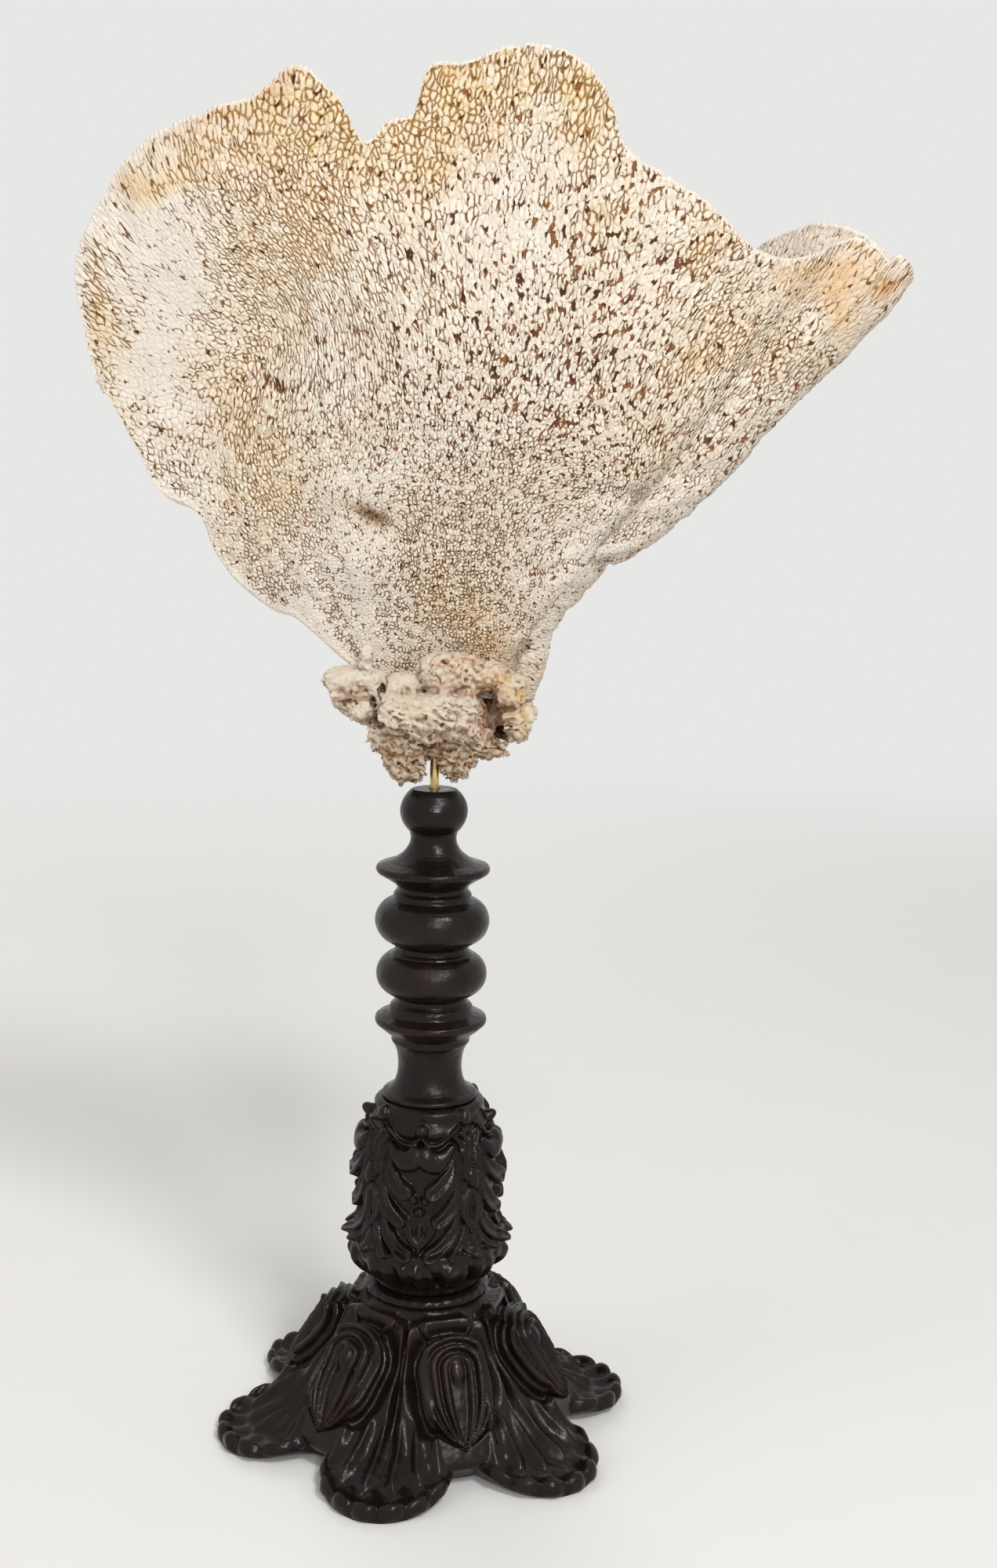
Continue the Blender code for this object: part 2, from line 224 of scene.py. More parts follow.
def install(piece, node):
    """The piece rides on the object's only body and stands for its CAD node."""
    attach(piece, "root")
    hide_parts(node)


def azimuths_round(sides):
    """Azimuths of evenly spaced places once round the axis."""
    return np.arange(sides) * math.tau / sides


def ring_points(radii, heights, azimuths):
    """Points of rows of rings: azimuth is measured from -Y towards +X."""
    flat = np.zeros_like(azimuths)
    return np.stack([radii * np.sin(azimuths), -radii * np.cos(azimuths), heights + flat], axis=-1)


def turned_rings(outline, azimuths):
    """Rings of an outline, given as rows of (radius, height), that is turned round the axis."""
    return ring_points(outline[:, :1], outline[:, 1:], azimuths)


def round_piece(name, rings, look, marks=None):
    """A closed round piece from a (rows, sides, 3) grid that goes once round the axis, with two poles."""
    rows, sides = rings.shape[:2]
    poles = np.array([[0.0, 0.0, rings[k, :, 2].mean()] for k in (0, -1)])
    points = np.concatenate([rings.reshape(-1, 3), poles])
    index = np.arange(rows * sides).reshape(rows, sides)
    after = np.roll(index, -1, axis=1)
    quads = np.stack([index[:-1], index[1:], after[1:], after[:-1]], axis=-1).reshape(-1, 4)
    first = np.stack([np.full(sides, rows * sides), index[0], after[0]], axis=-1)
    last = np.stack([np.full(sides, rows * sides + 1), after[-1], index[-1]], axis=-1)
    if marks:
        marks = {mark: np.concatenate([values.ravel(), np.zeros(2)]) for mark, values in marks.items()}
    return make_piece(name, points, quads, np.concatenate([first, last]), look, marks=marks)


def ring_normals(rings):
    """Outward unit normals of a grid that goes once round the axis: the cross product of its two directions."""
    across = (np.roll(rings, -1, axis=1) - np.roll(rings, 1, axis=1)) / 2.0
    normal = unit(np.cross(np.gradient(rings, axis=0), across))
    return normal * np.sign(np.einsum("ijk,ijk->", normal, rings * (1, 1, 0)))


# ------------ materials

def fill_inputs(tree, node, inputs):
    """Wires or sets a node's inputs."""
    for key, value in inputs.items():
        if isinstance(value, bpy.types.NodeSocket):
            tree.links.new(value, node.inputs[key])
        else:
            node.inputs[key].default_value = value


def add_node(tree, kind, inputs=None, **settings):
    """A new node with its settings made and its inputs filled."""
    node = tree.nodes.new(kind)
    for key, value in settings.items():
        setattr(node, key, value)
    fill_inputs(tree, node, inputs or {})
    return node


class NodeBoard:
    """One material's shader nodes, with short ways to add and wire them."""

    def __init__(self, name):
        self.material = bpy.data.materials.new(name)
        self.material.use_nodes = True
        self.tree = self.material.node_tree
        self.shader = self.tree.nodes["Principled BSDF"]

    def add(self, kind, inputs=None, **settings):
        return add_node(self.tree, kind, inputs, **settings)

    def coordinates(self, kind):
        return self.add("ShaderNodeTexCoord").outputs[kind]

    def mark(self, name):
        return self.add("ShaderNodeAttribute", attribute_name=name).outputs["Fac"]

    def marks(self, *names):
        return [self.mark(name) for name in names]

    def math(self, operation, first, second=0.0, third=0.0):
        return self.add("ShaderNodeMath", {0: first, 1: second, 2: third}, operation=operation).outputs[0]

    def times(self, first, second, added=None):
        """The product of two values, with a third added to it if one is given."""
        if added is None:
            return self.math("MULTIPLY", first, second)
        return self.math("MULTIPLY_ADD", first, second, added)

    def vector(self, operation, first, second=(0.0, 0.0, 0.0), third=(0.0, 0.0, 0.0)):
        return self.add("ShaderNodeVectorMath", {0: first, 1: second, 2: third}, operation=operation).outputs[0]

    def measure(self, operation, first, second=(0.0, 0.0, 0.0)):
        """A number from one or two vectors, such as a length."""
        return self.add("ShaderNodeVectorMath", {0: first, 1: second}, operation=operation).outputs["Value"]

    def noise(self, vector, scale, detail=3.0, roughness=0.55):
        values = {"Vector": vector, "Scale": scale, "Detail": detail, "Roughness": roughness}
        return self.add("ShaderNodeTexNoise", values).outputs["Fac"]

    def ramp(self, value, low, high, to_low=0.0, to_high=1.0):
        """The value carried smoothly from one range to another."""
        inputs = {"Value": value, "From Min": low, "From Max": high, "To Min": to_low, "To Max": to_high}
        return self.add("ShaderNodeMapRange", inputs, interpolation_type="SMOOTHSTEP").outputs["Result"]

    def patchy(self, vector, scale, detail, *ranges):
        """Noise carried smoothly from one range to another."""
        return self.ramp(self.noise(vector, scale, detail), *ranges)

    def blend(self, share, first, second):
        """A colour between two, by the share. A colour is a socket, or red, green and blue."""
        first, second = (
            value if isinstance(value, bpy.types.NodeSocket) else (*value, 1.0) for value in (first, second)
        )
        return self.add("ShaderNodeMix", {0: share, 6: first, 7: second}, data_type="RGBA").outputs[2]

    def bump(self, height, distance, strength=1.0, under=None):
        inputs = {"Height": height, "Distance": distance, "Strength": strength}
        if under is not None:
            inputs["Normal"] = under
        return self.add("ShaderNodeBump", inputs).outputs["Normal"]

    def connect(self, **sockets):
        """Wires or sets inputs of the surface shader, named with underscores for spaces."""
        fill_inputs(self.tree, self.shader, {key.replace("_", " "): value for key, value in sockets.items()})


def sponge_material(settings):
    """Pale grain-shaped cells between brown crevices, with dark pores, ochre stains, chalky places and painted
    shade.

    The cells are a Voronoi pattern on the fan's own UV map, whose unit is one cell, so that they grow larger and
    longer from the foot to the rim. A crevice is open where the distance to its cell's border is under a width,
    which comes and goes with noise, is greater along a cell's long sides and at its corners, and is greatest in
    the pores.
    """
    board = NodeBoard("dried_sponge")
    fan = board.coordinates("UV")
    place = board.coordinates("Object")
    pushed = fan
    for scale, reach in ((0.3, 1.6), (1.3, 0.6)):
        wander = board.add("ShaderNodeTexNoise", {"Vector": fan, "Scale": scale, "Detail": 1.0}).outputs["Color"]
        centred = board.vector("SUBTRACT", wander, (0.5, 0.5, 0.5))
        pushed = board.vector("MULTIPLY_ADD", centred, (reach, reach, 0.0), pushed)
    cell = {"Vector": pushed, "Scale": 1.0, "Randomness": 0.92}
    border, nearest, second = (
        board.add("ShaderNodeTexVoronoi", cell, voronoi_dimensions="2D", feature=feature)
        for feature in ("DISTANCE_TO_EDGE", "F1", "F2")
    )
    edge = border.outputs["Distance"]
    tone, other_tone = (
        board.add("ShaderNodeSeparateColor", {0: node.outputs["Color"]}).outputs[0] for node in (nearest, second)
    )
    chalk, ochre, pink, orange, porous, rim = board.marks("chalk", "ochre", "pink", "orange", "porous", "rim")
    netted, pit, furrow, lip, bare = board.marks("netted", "pit", "furrow", "lip", "bare")
    smooth = board.math("MAXIMUM", chalk, pink)

    # 1 along the long sides of a cell, less at its ends, and 1 all round near the foot, where cells are round.
    outward = board.vector("NORMALIZE", fan)
    from_seed = board.vector("SUBTRACT", pushed, nearest.outputs["Position"])
    lengthways = board.math("ABSOLUTE", board.measure("DOT_PRODUCT", from_seed, outward))
    lengthways = board.math("DIVIDE", lengthways, nearest.outputs["Distance"])
    sides = board.ramp(lengthways, 0.96, 0.55, 0.35, 1.0)
    reach = board.measure("LENGTH", fan)
    sides = board.math("MAXIMUM", sides, board.ramp(reach, 90.0, 65.0))

    # How far each crevice is open, in cells to each side of the border.
    presence = board.times(board.math("ADD", tone, other_tone), 0.24, board.noise(fan, 0.8, 2.0))
    presence = board.math("SUBTRACT", presence, 0.24)
    for mark, gain in ((netted, 0.17), (furrow, 0.22), (chalk, -0.2), (pink, -0.3), (bare, -0.3)):
        presence = board.times(mark, gain, presence)
    presence = board.math("SUBTRACT", presence, board.ramp(reach, 114.0, 84.0, 0.0, 0.05))
    presence = board.ramp(presence, 0.51, 0.59)
    wide = board.ramp(reach, 118.0, 70.0, 0.16, 0.175)
    width = board.times(board.times(presence, wide, -0.02), sides)
    corners = board.ramp(nearest.outputs["Distance"], 0.48, 0.74)
    corners = board.times(corners, board.patchy(fan, 1.3, 1.0, 0.48, 0.60))
    corners = board.times(corners, board.times(chalk, -0.7, 1.0))
    width = board.times(corners, 0.09, width)

    # Pores: places about a cell across where the crevices gape.
    gape = board.times(porous, 0.07, board.noise(fan, 0.8, 1.5))
    gape = board.times(pit, 0.22, gape)
    gape = board.ramp(board.times(chalk, -0.06, gape), 0.60, 0.76)
    width = board.times(gape, 0.30, width)
    width = board.times(rim, -0.5, width)
    closed_lip = board.times(lip, board.patchy(fan, 0.6, 1.0, 0.62, 0.5))
    width = board.times(closed_lip, -0.2, width)
    width = board.times(board.math("MAXIMUM", pink, bare), -0.05, width)
    within = board.math("SUBTRACT", width, edge)
    crevice = board.ramp(within, -0.025, 0.03)
    deep = board.math("MAXIMUM", board.ramp(within, 0.01, 0.14), board.ramp(reach, 130.0, 84.0, 0.0, 0.62))
    pore = board.times(board.ramp(within, 0.02, 0.12), board.ramp(gape, 0.12, 0.40))
    crevice_shade_and_gold = board.ramp(within, -0.17, -0.01)

    # Colour of the cells: palest on their crests, darker towards their crevices as painted shade, golden there in
    # the ochre places.
    blotches = board.patchy(place, 55.0, 4.0, 0.38, 0.62)
    pale = board.blend(blotches, settings.pale_colour, settings.cream_colour)
    dull = board.times(tone, 0.16, board.ramp(reach, 102.0, 74.0, 0.0, 0.18))
    dull = board.times(bare, 0.55, dull)
    pale = board.blend(dull, pale, settings.shadow_colour)
    pale = board.blend(chalk, pale, settings.chalk_colour)
    tint = board.times(ochre, board.patchy(place, 130.0, 3.0, 0.3, 0.65, 0.5, 1.0))
    body = board.blend(board.times(tint, 0.50), pale, settings.ochre_colour)
    # Painted shade: cells darken towards their crevices, to golden brown in the ochre places and to the shaded cell
    # colour elsewhere.
    gold = board.blend(board.ramp(tint, 0.1, 0.6), settings.shadow_colour, settings.gold_colour)
    share = board.times(board.times(tint, 0.66, 0.17), board.times(smooth, -0.65, 1.0))
    body = board.blend(board.times(crevice_shade_and_gold, share), body, gold)
    for mark, most, over in (
        (lip, 0.75, settings.chalk_colour),
        (orange, 0.8, settings.orange_colour),
        (pink, 0.8, settings.pink_colour),
    ):
        body = board.blend(board.times(mark, most), body, over)

    # Colour of the crevices: golden brown in the ochre places, darker elsewhere, darkest or rusty in the pores.
    shallow = board.blend(tint, settings.crevice_colour, settings.warm_crevice_colour)
    lined = board.blend(board.times(deep, board.times(tint, -0.35, 1.0)), shallow, settings.deep_colour)
    colour = board.blend(board.times(crevice, 0.95), body, lined)
    rusty = board.patchy(fan, 0.33, 1.0, 0.44, 0.58)
    colour = board.blend(pore, colour, board.blend(rusty, settings.pore_colour, settings.rust_colour))
    # Painted shade in the dimple: the hollow mark darkens it towards the crevice colour.
    colour = board.blend(board.times(board.mark("hollow"), 0.7), colour, settings.crevice_colour)
    colour = board.blend(board.times(rim, 0.7), colour, settings.rim_colour)

    # Height: each cell is a low dome, the crevices and pores are cut in, and fibres roughen all of it.
    dome = board.ramp(edge, 0.0, 0.36)
    cut = board.times(pore, 1.2, board.times(crevice, 0.6))
    shown = board.times(smooth, -0.4, 0.7)
    fibres = board.times(board.noise(place, 2300.0, 2.0), 0.5)
    height = board.math("SUBTRACT", board.times(dome, shown, fibres), cut)
    bumps = board.bump(height, settings.cell_relief)
    board.connect(Base_Color=colour, Roughness=0.93, Specular_IOR_Level=0.16, Normal=bumps)
    return board.material


def rubble_material(settings):
    """Cream and greyish pink limestone: blotches, coarse grains, yellow and rusty stains, painted shade in the
    hollows, pinholes and cracks and on the undersides, and painted highlights on the crests.
    """
    board = NodeBoard("coral_rubble")
    place = board.coordinates("Object")
    hollow, stain, rust, cream = board.marks("hollow", "stain", "rust", "cream")
    crack_shade, crest_highlight, under = board.marks("crack_shade", "crest_highlight", "under")
    blotches = board.patchy(place, 130.0, 5.0, 0.40, 0.60)
    body = board.blend(blotches, settings.cream_colour, settings.pink_colour)
    body = board.blend(cream, body, settings.pale_colour)
    grains = board.noise(place, 800.0, 4.0, 0.7)
    dirt = board.times(board.ramp(grains, 0.50, 0.72), board.times(cream, -0.5, 0.75))
    body = board.blend(dirt, body, settings.grain_colour)
    stained = board.times(stain, board.patchy(place, 260.0, 3.0, 0.35, 0.6))
    body = board.blend(stained, body, settings.stain_colour)
    rusty = board.times(rust, board.patchy(place, 420.0, 3.0, 0.38, 0.55))
    body = board.blend(rusty, body, settings.rust_colour)
    # Painted shade: the undersides and the lower part of the clump are darkened to brown.
    body = board.blend(board.times(under, 0.8), body, settings.underside_shade_colour)
    # Painted highlights: the crests are lightened, less so on the undersides.
    body = board.blend(board.times(crest_highlight, board.times(under, -0.15, 0.6)), body, settings.pale_colour)
    # Painted shade in the cracks, darker on the undersides and weaker where the rust is.
    shaded = board.patchy(place, 300.0, 2.0, 0.3, 0.6, 0.3, 0.8)
    shaded = board.times(crack_shade, board.times(under, 0.4, shaded))
    shaded = board.times(shaded, board.times(rust, -0.7, 1.0))
    body = board.blend(shaded, body, settings.crack_shade_colour)
    scattered = {"Vector": place, "Scale": 620.0, "Randomness": 1.0}
    pinholes = board.add("ShaderNodeTexVoronoi", scattered, feature="F1")
    pinhole = board.ramp(pinholes.outputs["Distance"], 0.30, 0.16)
    pinhole = board.times(pinhole, board.patchy(place, 210.0, 2.0, 0.50, 0.60))
    # Painted shade in the large hollows and the pinholes.
    sunk = board.math("MAXIMUM", hollow, board.times(pinhole, 0.85))
    colour = board.blend(sunk, body, settings.hollow_shade_colour)
    height = board.times(pinhole, -0.7, board.noise(place, 640.0, 6.0, 0.75))
    bumps = board.bump(height, settings.grain_relief)
    board.connect(Base_Color=colour, Roughness=0.95, Specular_IOR_Level=0.15, Normal=bumps)
    return board.material


def wood_material(settings):
    """Near-black stained hardwood under a hand-rubbed polish: brown where it is worn, with an uneven sheen."""
    board = NodeBoard("dark_wood")
    place = board.coordinates("Object")
    stretched = board.add("ShaderNodeMapping", {"Vector": place, "Scale": (1.0, 1.0, 0.12)}).outputs["Vector"]
    figure = board.noise(stretched, 420.0, 5.0, 0.6)
    handled = board.noise(place, 38.0, 4.0)
    dark = board.blend(board.ramp(figure, 0.35, 0.70), settings.stain_colour, settings.figure_colour)
    worn = board.times(board.mark("proud"), board.ramp(handled, 0.38, 0.68))
    colour = board.blend(worn, dark, settings.worn_colour)
    dust = board.times(board.ramp(handled, 0.45, 0.75), 0.12)
    smears = board.noise(place, 150.0, 5.0, 0.65)
    roughness = board.ramp(smears, 0.30, 0.72, settings.polish, settings.polish + 0.16)
    roughness = board.math("ADD", roughness, dust)
    soft = board.bump(board.noise(place, 210.0, 4.0), 0.0006, 0.55)
    normal = board.bump(figure, 0.00012, 0.6, soft)
    board.connect(Base_Color=colour, Roughness=roughness, Specular_IOR_Level=0.2, Normal=normal)
    return board.material


def brass_material(settings):
    """Drawn brass rod, lightly dulled, with fine scratches along it."""
    board = NodeBoard("rod_brass")
    place = board.coordinates("Object")
    stretched = board.add("ShaderNodeMapping", {"Vector": place, "Scale": (1.0, 1.0, 0.05)}).outputs["Vector"]
    scratches = board.noise(stretched, 5200.0, 3.0)
    dull = board.noise(place, 260.0, 3.0)
    colour = board.blend(board.ramp(dull, 0.4, 0.7), settings.brass_colour, settings.dull_colour)
    roughness = board.ramp(dull, 0.3, 0.7, 0.22, 0.42)
    normal = board.bump(scratches, 0.00004, 0.5)
    board.connect(Base_Color=colour, Metallic=1.0, Roughness=roughness, Normal=normal)
    return board.material


def floor_material(settings):
    """Plain pale floor that fades out well beyond the object, so that it has no edge against the background."""
    board = NodeBoard("pale_floor")
    place = board.coordinates("Object")
    pale = settings.floor_colour
    speckle = board.patchy(place, 30.0, 3.0, 0.3, 0.7, 0.0, 0.06)
    colour = board.blend(speckle, pale, [0.9 * value for value in pale])
    board.connect(Base_Color=colour, Roughness=0.8, Specular_IOR_Level=0.1)
    distance = board.measure("LENGTH", place)
    clear = board.add("ShaderNodeBsdfTransparent").outputs[0]
    fade = board.ramp(distance, settings.floor_radius * 0.35, settings.floor_radius * 0.95)
    mixed = board.add("ShaderNodeMixShader", {0: fade, 1: board.shader.outputs[0], 2: clear})
    fill_inputs(board.tree, board.tree.nodes["Material Output"], {"Surface": mixed.outputs[0]})
    return board.material


# ------------ the sponge

# The foot line, the curl at its right end, and how far the flap's foot runs back behind it.
FOOT_LEFT_X, FOOT_RIGHT_X = -27.0, 33.0
FOOT_LEFT_Z, FOOT_RIGHT_Z = 272.0, 262.0
FOOT_Y = 4.0
FOOT_CURL_RADIUS = 8.0
FOOT_FLAP = 6.0
# The curl is spread over this many of the rim's places before and after the tip.
FOLD_BEFORE, FOLD_AFTER = 4, 4
BLADE_THICKNESS_FOOT = 7.0
BLADE_THICKNESS_RIM = 3.8
BLADE_BOW = 9.0
BOW_MARGIN = math.radians(14.0)
# Which way the left edge and the fold are drawn, and how far along the rim that fades.
LEFT_EDGE_OUTWARD = np.array((-0.73, 0.0, -0.68))
RIGHT_FOLD_INWARD = np.array((-0.76, 0.0, 0.64))
LEFT_EDGE_FADE = 22.0
RIGHT_FOLD_FADE = 50.0
EDGE_ROUND = 2.3
FAN_CENTRE = np.array((5.4, 0.0, 229.0))
FAN_RIM_RADIUS = 230.0
# How many times as long as wide a cell is, by its distance from the fan's centre, and the distances covered.
FAN_STRETCH = ((20, 1.0), (80, 1.08), (110, 1.25), (150, 1.85), (260, 2.5))
FAN_REACHES = 15.0, 300.0
# Where the grain leans off the fan's rays and is finer: (x, z, reach in mm, degrees towards +X, how much finer).
GRAIN_TURNS = (
    (-66, 412, 46, -30, 0.35), (112, 396, 34, 18, 0.38), (58, 322, 24, 34, 0), (-62, 358, 22, 22, 0),
    (20, 395, 20, -9, 0), (-22, 322, 14, -24, 0), (22, 456, 34, 0, 0.22), (-22, 450, 26, 0, 0.25),
)
# Distance of the foot from the fan's centre, and how far the curl of the fold and the fold's own grain reach.
FOOT_REACH = 40.0
CURL_REACH = 24.0
OPEN_FADE = 90.0
ENVELOPE_PLACES = 181
ENVELOPE_REACH = 45
ENVELOPE_ROUNDING = math.radians(8.0)
CURVE_STEPS = 8
RIM_STEPS = 24
FOLD_PLACES = 200
# The share of the way up of the row whose length carries the cells round the fold.
FOLD_ROW_UP = 0.72
# Below these shares of the way up, only every fourth or every second column goes on.
FOURTHS_BELOW, HALVES_BELOW = 0.28, 0.62
# Distances of the last columns from a free edge, in mm, where the skin turns round.
EDGE_COLUMNS = np.array((0.0, 0.12, 0.4, 0.85, 1.5))
MEAN_RULING = 190.0
# Half the span, in mm along the rim and in shares of the way up, over which the sheet's slopes are taken.
SLOPE_SPAN_ALONG = 2.5
SLOPE_SPAN_UP = 0.015
# Past this share of the rim the skin is the flap's. And how strongly the back shows the front's marks.
FLAP_FROM = 0.86
BACK_MARKS = 0.7

# Rim of the blade from the left corner, over the lobes and the notch, to the right tip (x, y, z, in mm).
FRONT_RIM = (
    (-113, 16, 365), (-118, 14, 371), (-121, 13, 384), (-124, 12, 401), (-121.5, 10, 414),
    (-116, 8, 424), (-107, 6, 438), (-94, 4, 449), (-77, 2, 456), (-62, 1, 461), (-52, 0, 468.5),
    (-46.5, 0, 469.5), (-41.5, 0, 466), (-35, -1, 460), (-29, -2, 449.5), (-27, -2, 446), (-23.5, -2, 447),
    (-18.5, -2, 452.5), (-11, -2, 454.5), (-8.5, -1, 461), (-4.5, -1, 470.5), (7.5, -1, 472), (19, -1, 476.5),
    (31, 0, 478), (44.5, 0, 473), (54, 0, 461), (59, 0, 446.5), (72.5, 0, 438), (87, 1, 429.5),
    (97.5, 1, 420), (103, 2, 415.8), (111, 2, 413), (118, 2.5, 412.8), (124.5, 3, 415), (131, 4, 418.5),
    (138, 5.2, 419.8), (144.5, 6.6, 417), (148.5, 7.8, 413.3), (152, 9, 415.2), (156, 11, 413), (157.5, 14, 408.5),
)
# The same rim, from behind the tip to the end of the flap that curls back.
BACK_RIM = (
    (156, 17, 411), (151.5, 18, 415), (146, 18, 419.5), (139, 19, 424), (131, 21, 426.5), (124, 24, 425.8),
    (117, 27, 423.2), (110, 29, 420), (103, 30.5, 414), (95, 31, 405), (88, 31, 392),
)
# How far the left edge bulges past a straight line from foot to rim: (share of the way up, mm outwards).
LEFT_EDGE = (
    (0, 0), (0.08, 1.7), (0.16, 3.2), (0.22, 4.6), (0.27, 7.9), (0.37, 10.5), (0.44, 9.9), (0.49, 8.7),
    (0.53, 6.1), (0.57, 4.4), (0.61, 5.2), (0.66, 8.4), (0.71, 8.8), (0.80, 5.6), (0.88, 3.3), (0.96, 1),
    (1, 0),
)
# How far the fold on the right lies inside such a line.
RIGHT_FOLD = (
    (0, 3), (0.05, 6), (0.11, 13), (0.15, 15), (0.22, 14.5), (0.28, 12.5), (0.34, 8.5), (0.40, 6.5),
    (0.50, 4.6), (0.65, 3.6), (0.80, 2), (0.88, -0.2), (0.93, -1), (1, 0),
)

# Where the blade is tinted: (x, z, half-width, half-height, strength), in mm.
OCHRE_PATCHES = (
    (-64, 450, 24, 12, 0.75), (-84, 438, 16, 10, 0.6), (-104, 430, 12, 9, 0.5), (-30, 448, 24, 22, 0.85),
    (-46, 418, 19, 16, 0.7), (-46, 455, 16, 12, 0.6), (-2, 452, 19, 22, 0.75), (21, 463, 38, 14, 0.7),
    (46, 461, 15, 16, 0.6), (-117, 394, 6, 16, 0.9), (-107, 373, 8, 13, 0.6), (-63, 379, 20, 14, 0.55),
    (-68, 353, 13, 18, 0.65), (-57, 332, 11, 16, 0.6), (82, 389, 15, 15, 0.5), (102, 381, 22, 13, 0.5),
    (128, 398, 10, 8, 0.8), (119, 409, 6, 5, 0.6), (132, 415, 9, 4, 0.6), (146, 408, 11, 8, 1),
    (89, 417, 9, 9, 0.7), (53, 422, 10, 13, 0.5), (70, 348, 16, 16, 0.4), (8, 297, 6, 9, 0.5),
    (10, 285, 10, 9, 0.5), (-2, 311, 6, 10, 0.35), (20, 281, 8, 5, 0.45), (-95, 436, 12, 8, 0.5),
    (-60, 400, 12, 8, 0.5),
)
ORANGE_PATCHES = (
    (-54, 465, 9, 5, 0.5), (-78, 453, 16, 4, 0.5), (153, 409, 6, 7, 0.9), (127, 400, 8, 8, 0.6),
    (118, 409, 5, 4, 0.4), (147, 405, 8, 6, 0.65), (6, 292, 4, 8, 0.3), (18, 279, 9, 4, 0.5),
    (-104, 432, 8, 6, 0.35), (1, 469, 9, 4, 0.4),
)
CHALK_PATCHES = (
    (-94, 420, 16, 15, 0.8), (-91, 389, 14, 24, 0.95), (-98, 368, 10, 10, 0.9), (-62, 448, 13, 6, 0.5),
    (-87, 443, 13, 7, 0.6), (-30, 306, 18, 18, 0.6), (35, 440, 15, 10, 0.4), (20, 414, 14, 20, 0.25),
    (57, 311, 24, 9, 0.6), (69, 397, 9, 10, 0.3), (130, 407, 8, 5, 0.7), (-75, 340, 7, 22, 0.5),
    (80, 330, 30, 8, 0.45), (-48, 290, 20, 8, 0.5), (41, 284, 8, 18, 0.6), (-20, 284, 14, 9, 0.45),
    (-22, 338, 16, 6, 0.4),
)
PORE_PATCHES = (
    (46, 389, 48, 50, 1), (0, 365, 38, 30, 0.6), (60, 352, 30, 22, 0.7), (10, 312, 26, 20, 0.35),
    (-53, 366, 10, 8, 0.5),
)
# Where its crevices are mostly closed.
BARE_PATCHES = (
    (33, 266, 12, 20, 1), (48, 294, 8, 11, 0.5), (136, 391, 14, 7, 0.6), (150, 401, 8, 8, 0.5),
    (-104, 434, 9, 10, 0.35), (130, 404, 26, 15, 0.45),
)
# Where its crevices join into a net.
NETTED_PATCHES = (
    (10, 322, 34, 30, 0.75), (16, 350, 30, 22, 0.4), (-45, 385, 40, 30, 0.12), (-60, 430, 38, 22, 0.4),
    (100, 395, 34, 22, 0.3), (0, 300, 26, 20, 0.4),
)
# Width of the smooth lip below the rim, by the distance along the rim, in mm.
LIP_WIDTHS = (
    (0, 2.5), (15, 4.5), (45, 5.5), (80, 5), (100, 3), (118, 2.6), (150, 2.2), (200, 1.6), (400, 1.8),
)
# Larger pits sunk into the blade: (x, z, radius, depth).
PITS = (
    (-53, 366, 2, 2), (-78, 403, 1.8, 1.3), (-57, 368, 1.6, 1.6), (35.5, 415, 2, 1.6), (40, 399, 1.5, 1.8),
    (57, 311.5, 1.3, 1.2), (-11, 410, 1.4, 1.2), (47, 433, 1.7, 1.5), (25, 402, 1.5, 1.5), (78, 409, 1.6, 1.4),
    (31, 386, 1.6, 1.7), (66, 366, 1.6, 1.5), (18, 372, 1.4, 1.4), (51, 377, 1.5, 1.5), (2, 392, 1.3, 1.3),
    (40, 358, 1.7, 1.6), (88, 352, 1.5, 1.4), (60, 393, 1.4, 1.4), (-26, 392, 1.3, 1.2), (-14, 374, 1.3, 1.3),
)


def blade_tables():
    """The rim as a smooth curve, and what the blade does in the column that ends at each of its points."""
    rim = smooth_curve(FRONT_RIM + BACK_RIM, RIM_STEPS)
    number = np.linspace(0.0, len(FRONT_RIM) + len(BACK_RIM) - 1.0, len(rim))
    along = path_lengths(rim)
    fold = len(FRONT_RIM) - 1
    turn_start, turn_end = fold - FOLD_BEFORE, fold + FOLD_AFTER
    at_fold, at_start, at_end = np.interp((fold, turn_start, turn_end), number, along)
    turn = math.pi * step_between(turn_start, turn_end, number)
    across = np.clip(along / at_start, 0.0, 1.0)
    flap = np.clip((along - at_end) / (along[-1] - at_end), 0.0, 1.0)
    turn_x = FOOT_RIGHT_X - FOOT_CURL_RADIUS
    foot = np.stack([
        FOOT_LEFT_X + (turn_x - FOOT_LEFT_X) * across + FOOT_CURL_RADIUS * np.sin(turn) - FOOT_FLAP * flap,
        FOOT_Y + FOOT_CURL_RADIUS * (1.0 - np.cos(turn)),
        FOOT_LEFT_Z + (FOOT_RIGHT_Z - FOOT_LEFT_Z) * across,
    ], axis=1)
    tables = {
        "along": along,
        "rim": rim,
        "foot": foot,
        "fold": at_fold,
        "near_left": bell(along / LEFT_EDGE_FADE),
        "near_fold": bell((along - at_fold) / RIGHT_FOLD_FADE),
        "open": step_between(at_start, at_start - OPEN_FADE, along),
    } | fan_envelope(rim[along < at_start])
    ups = np.linspace(0.0, 1.0, FOLD_PLACES)
    tables["fold_line"] = blade_plan(tables, np.full_like(ups, at_fold), ups)
    return tables


def fan_envelope(rim):
    """Radius and depth of the open rim by its angle round the fan's centre, with the notch smoothed away."""
    angle, radius = fan_place(rim)
    order = np.argsort(angle)
    wanted = np.linspace(angle.min(), angle.max(), ENVELOPE_PLACES)
    kernel = wanted[1] - wanted[0], ENVELOPE_ROUNDING, ENVELOPE_REACH
    radius, depth = (
        smoothed(np.interp(wanted, angle[order], values[order]), *kernel, mode="edge")
        for values in (radius, rim[:, 1])
    )
    return {"angle": wanted, "radius": radius, "depth": depth}


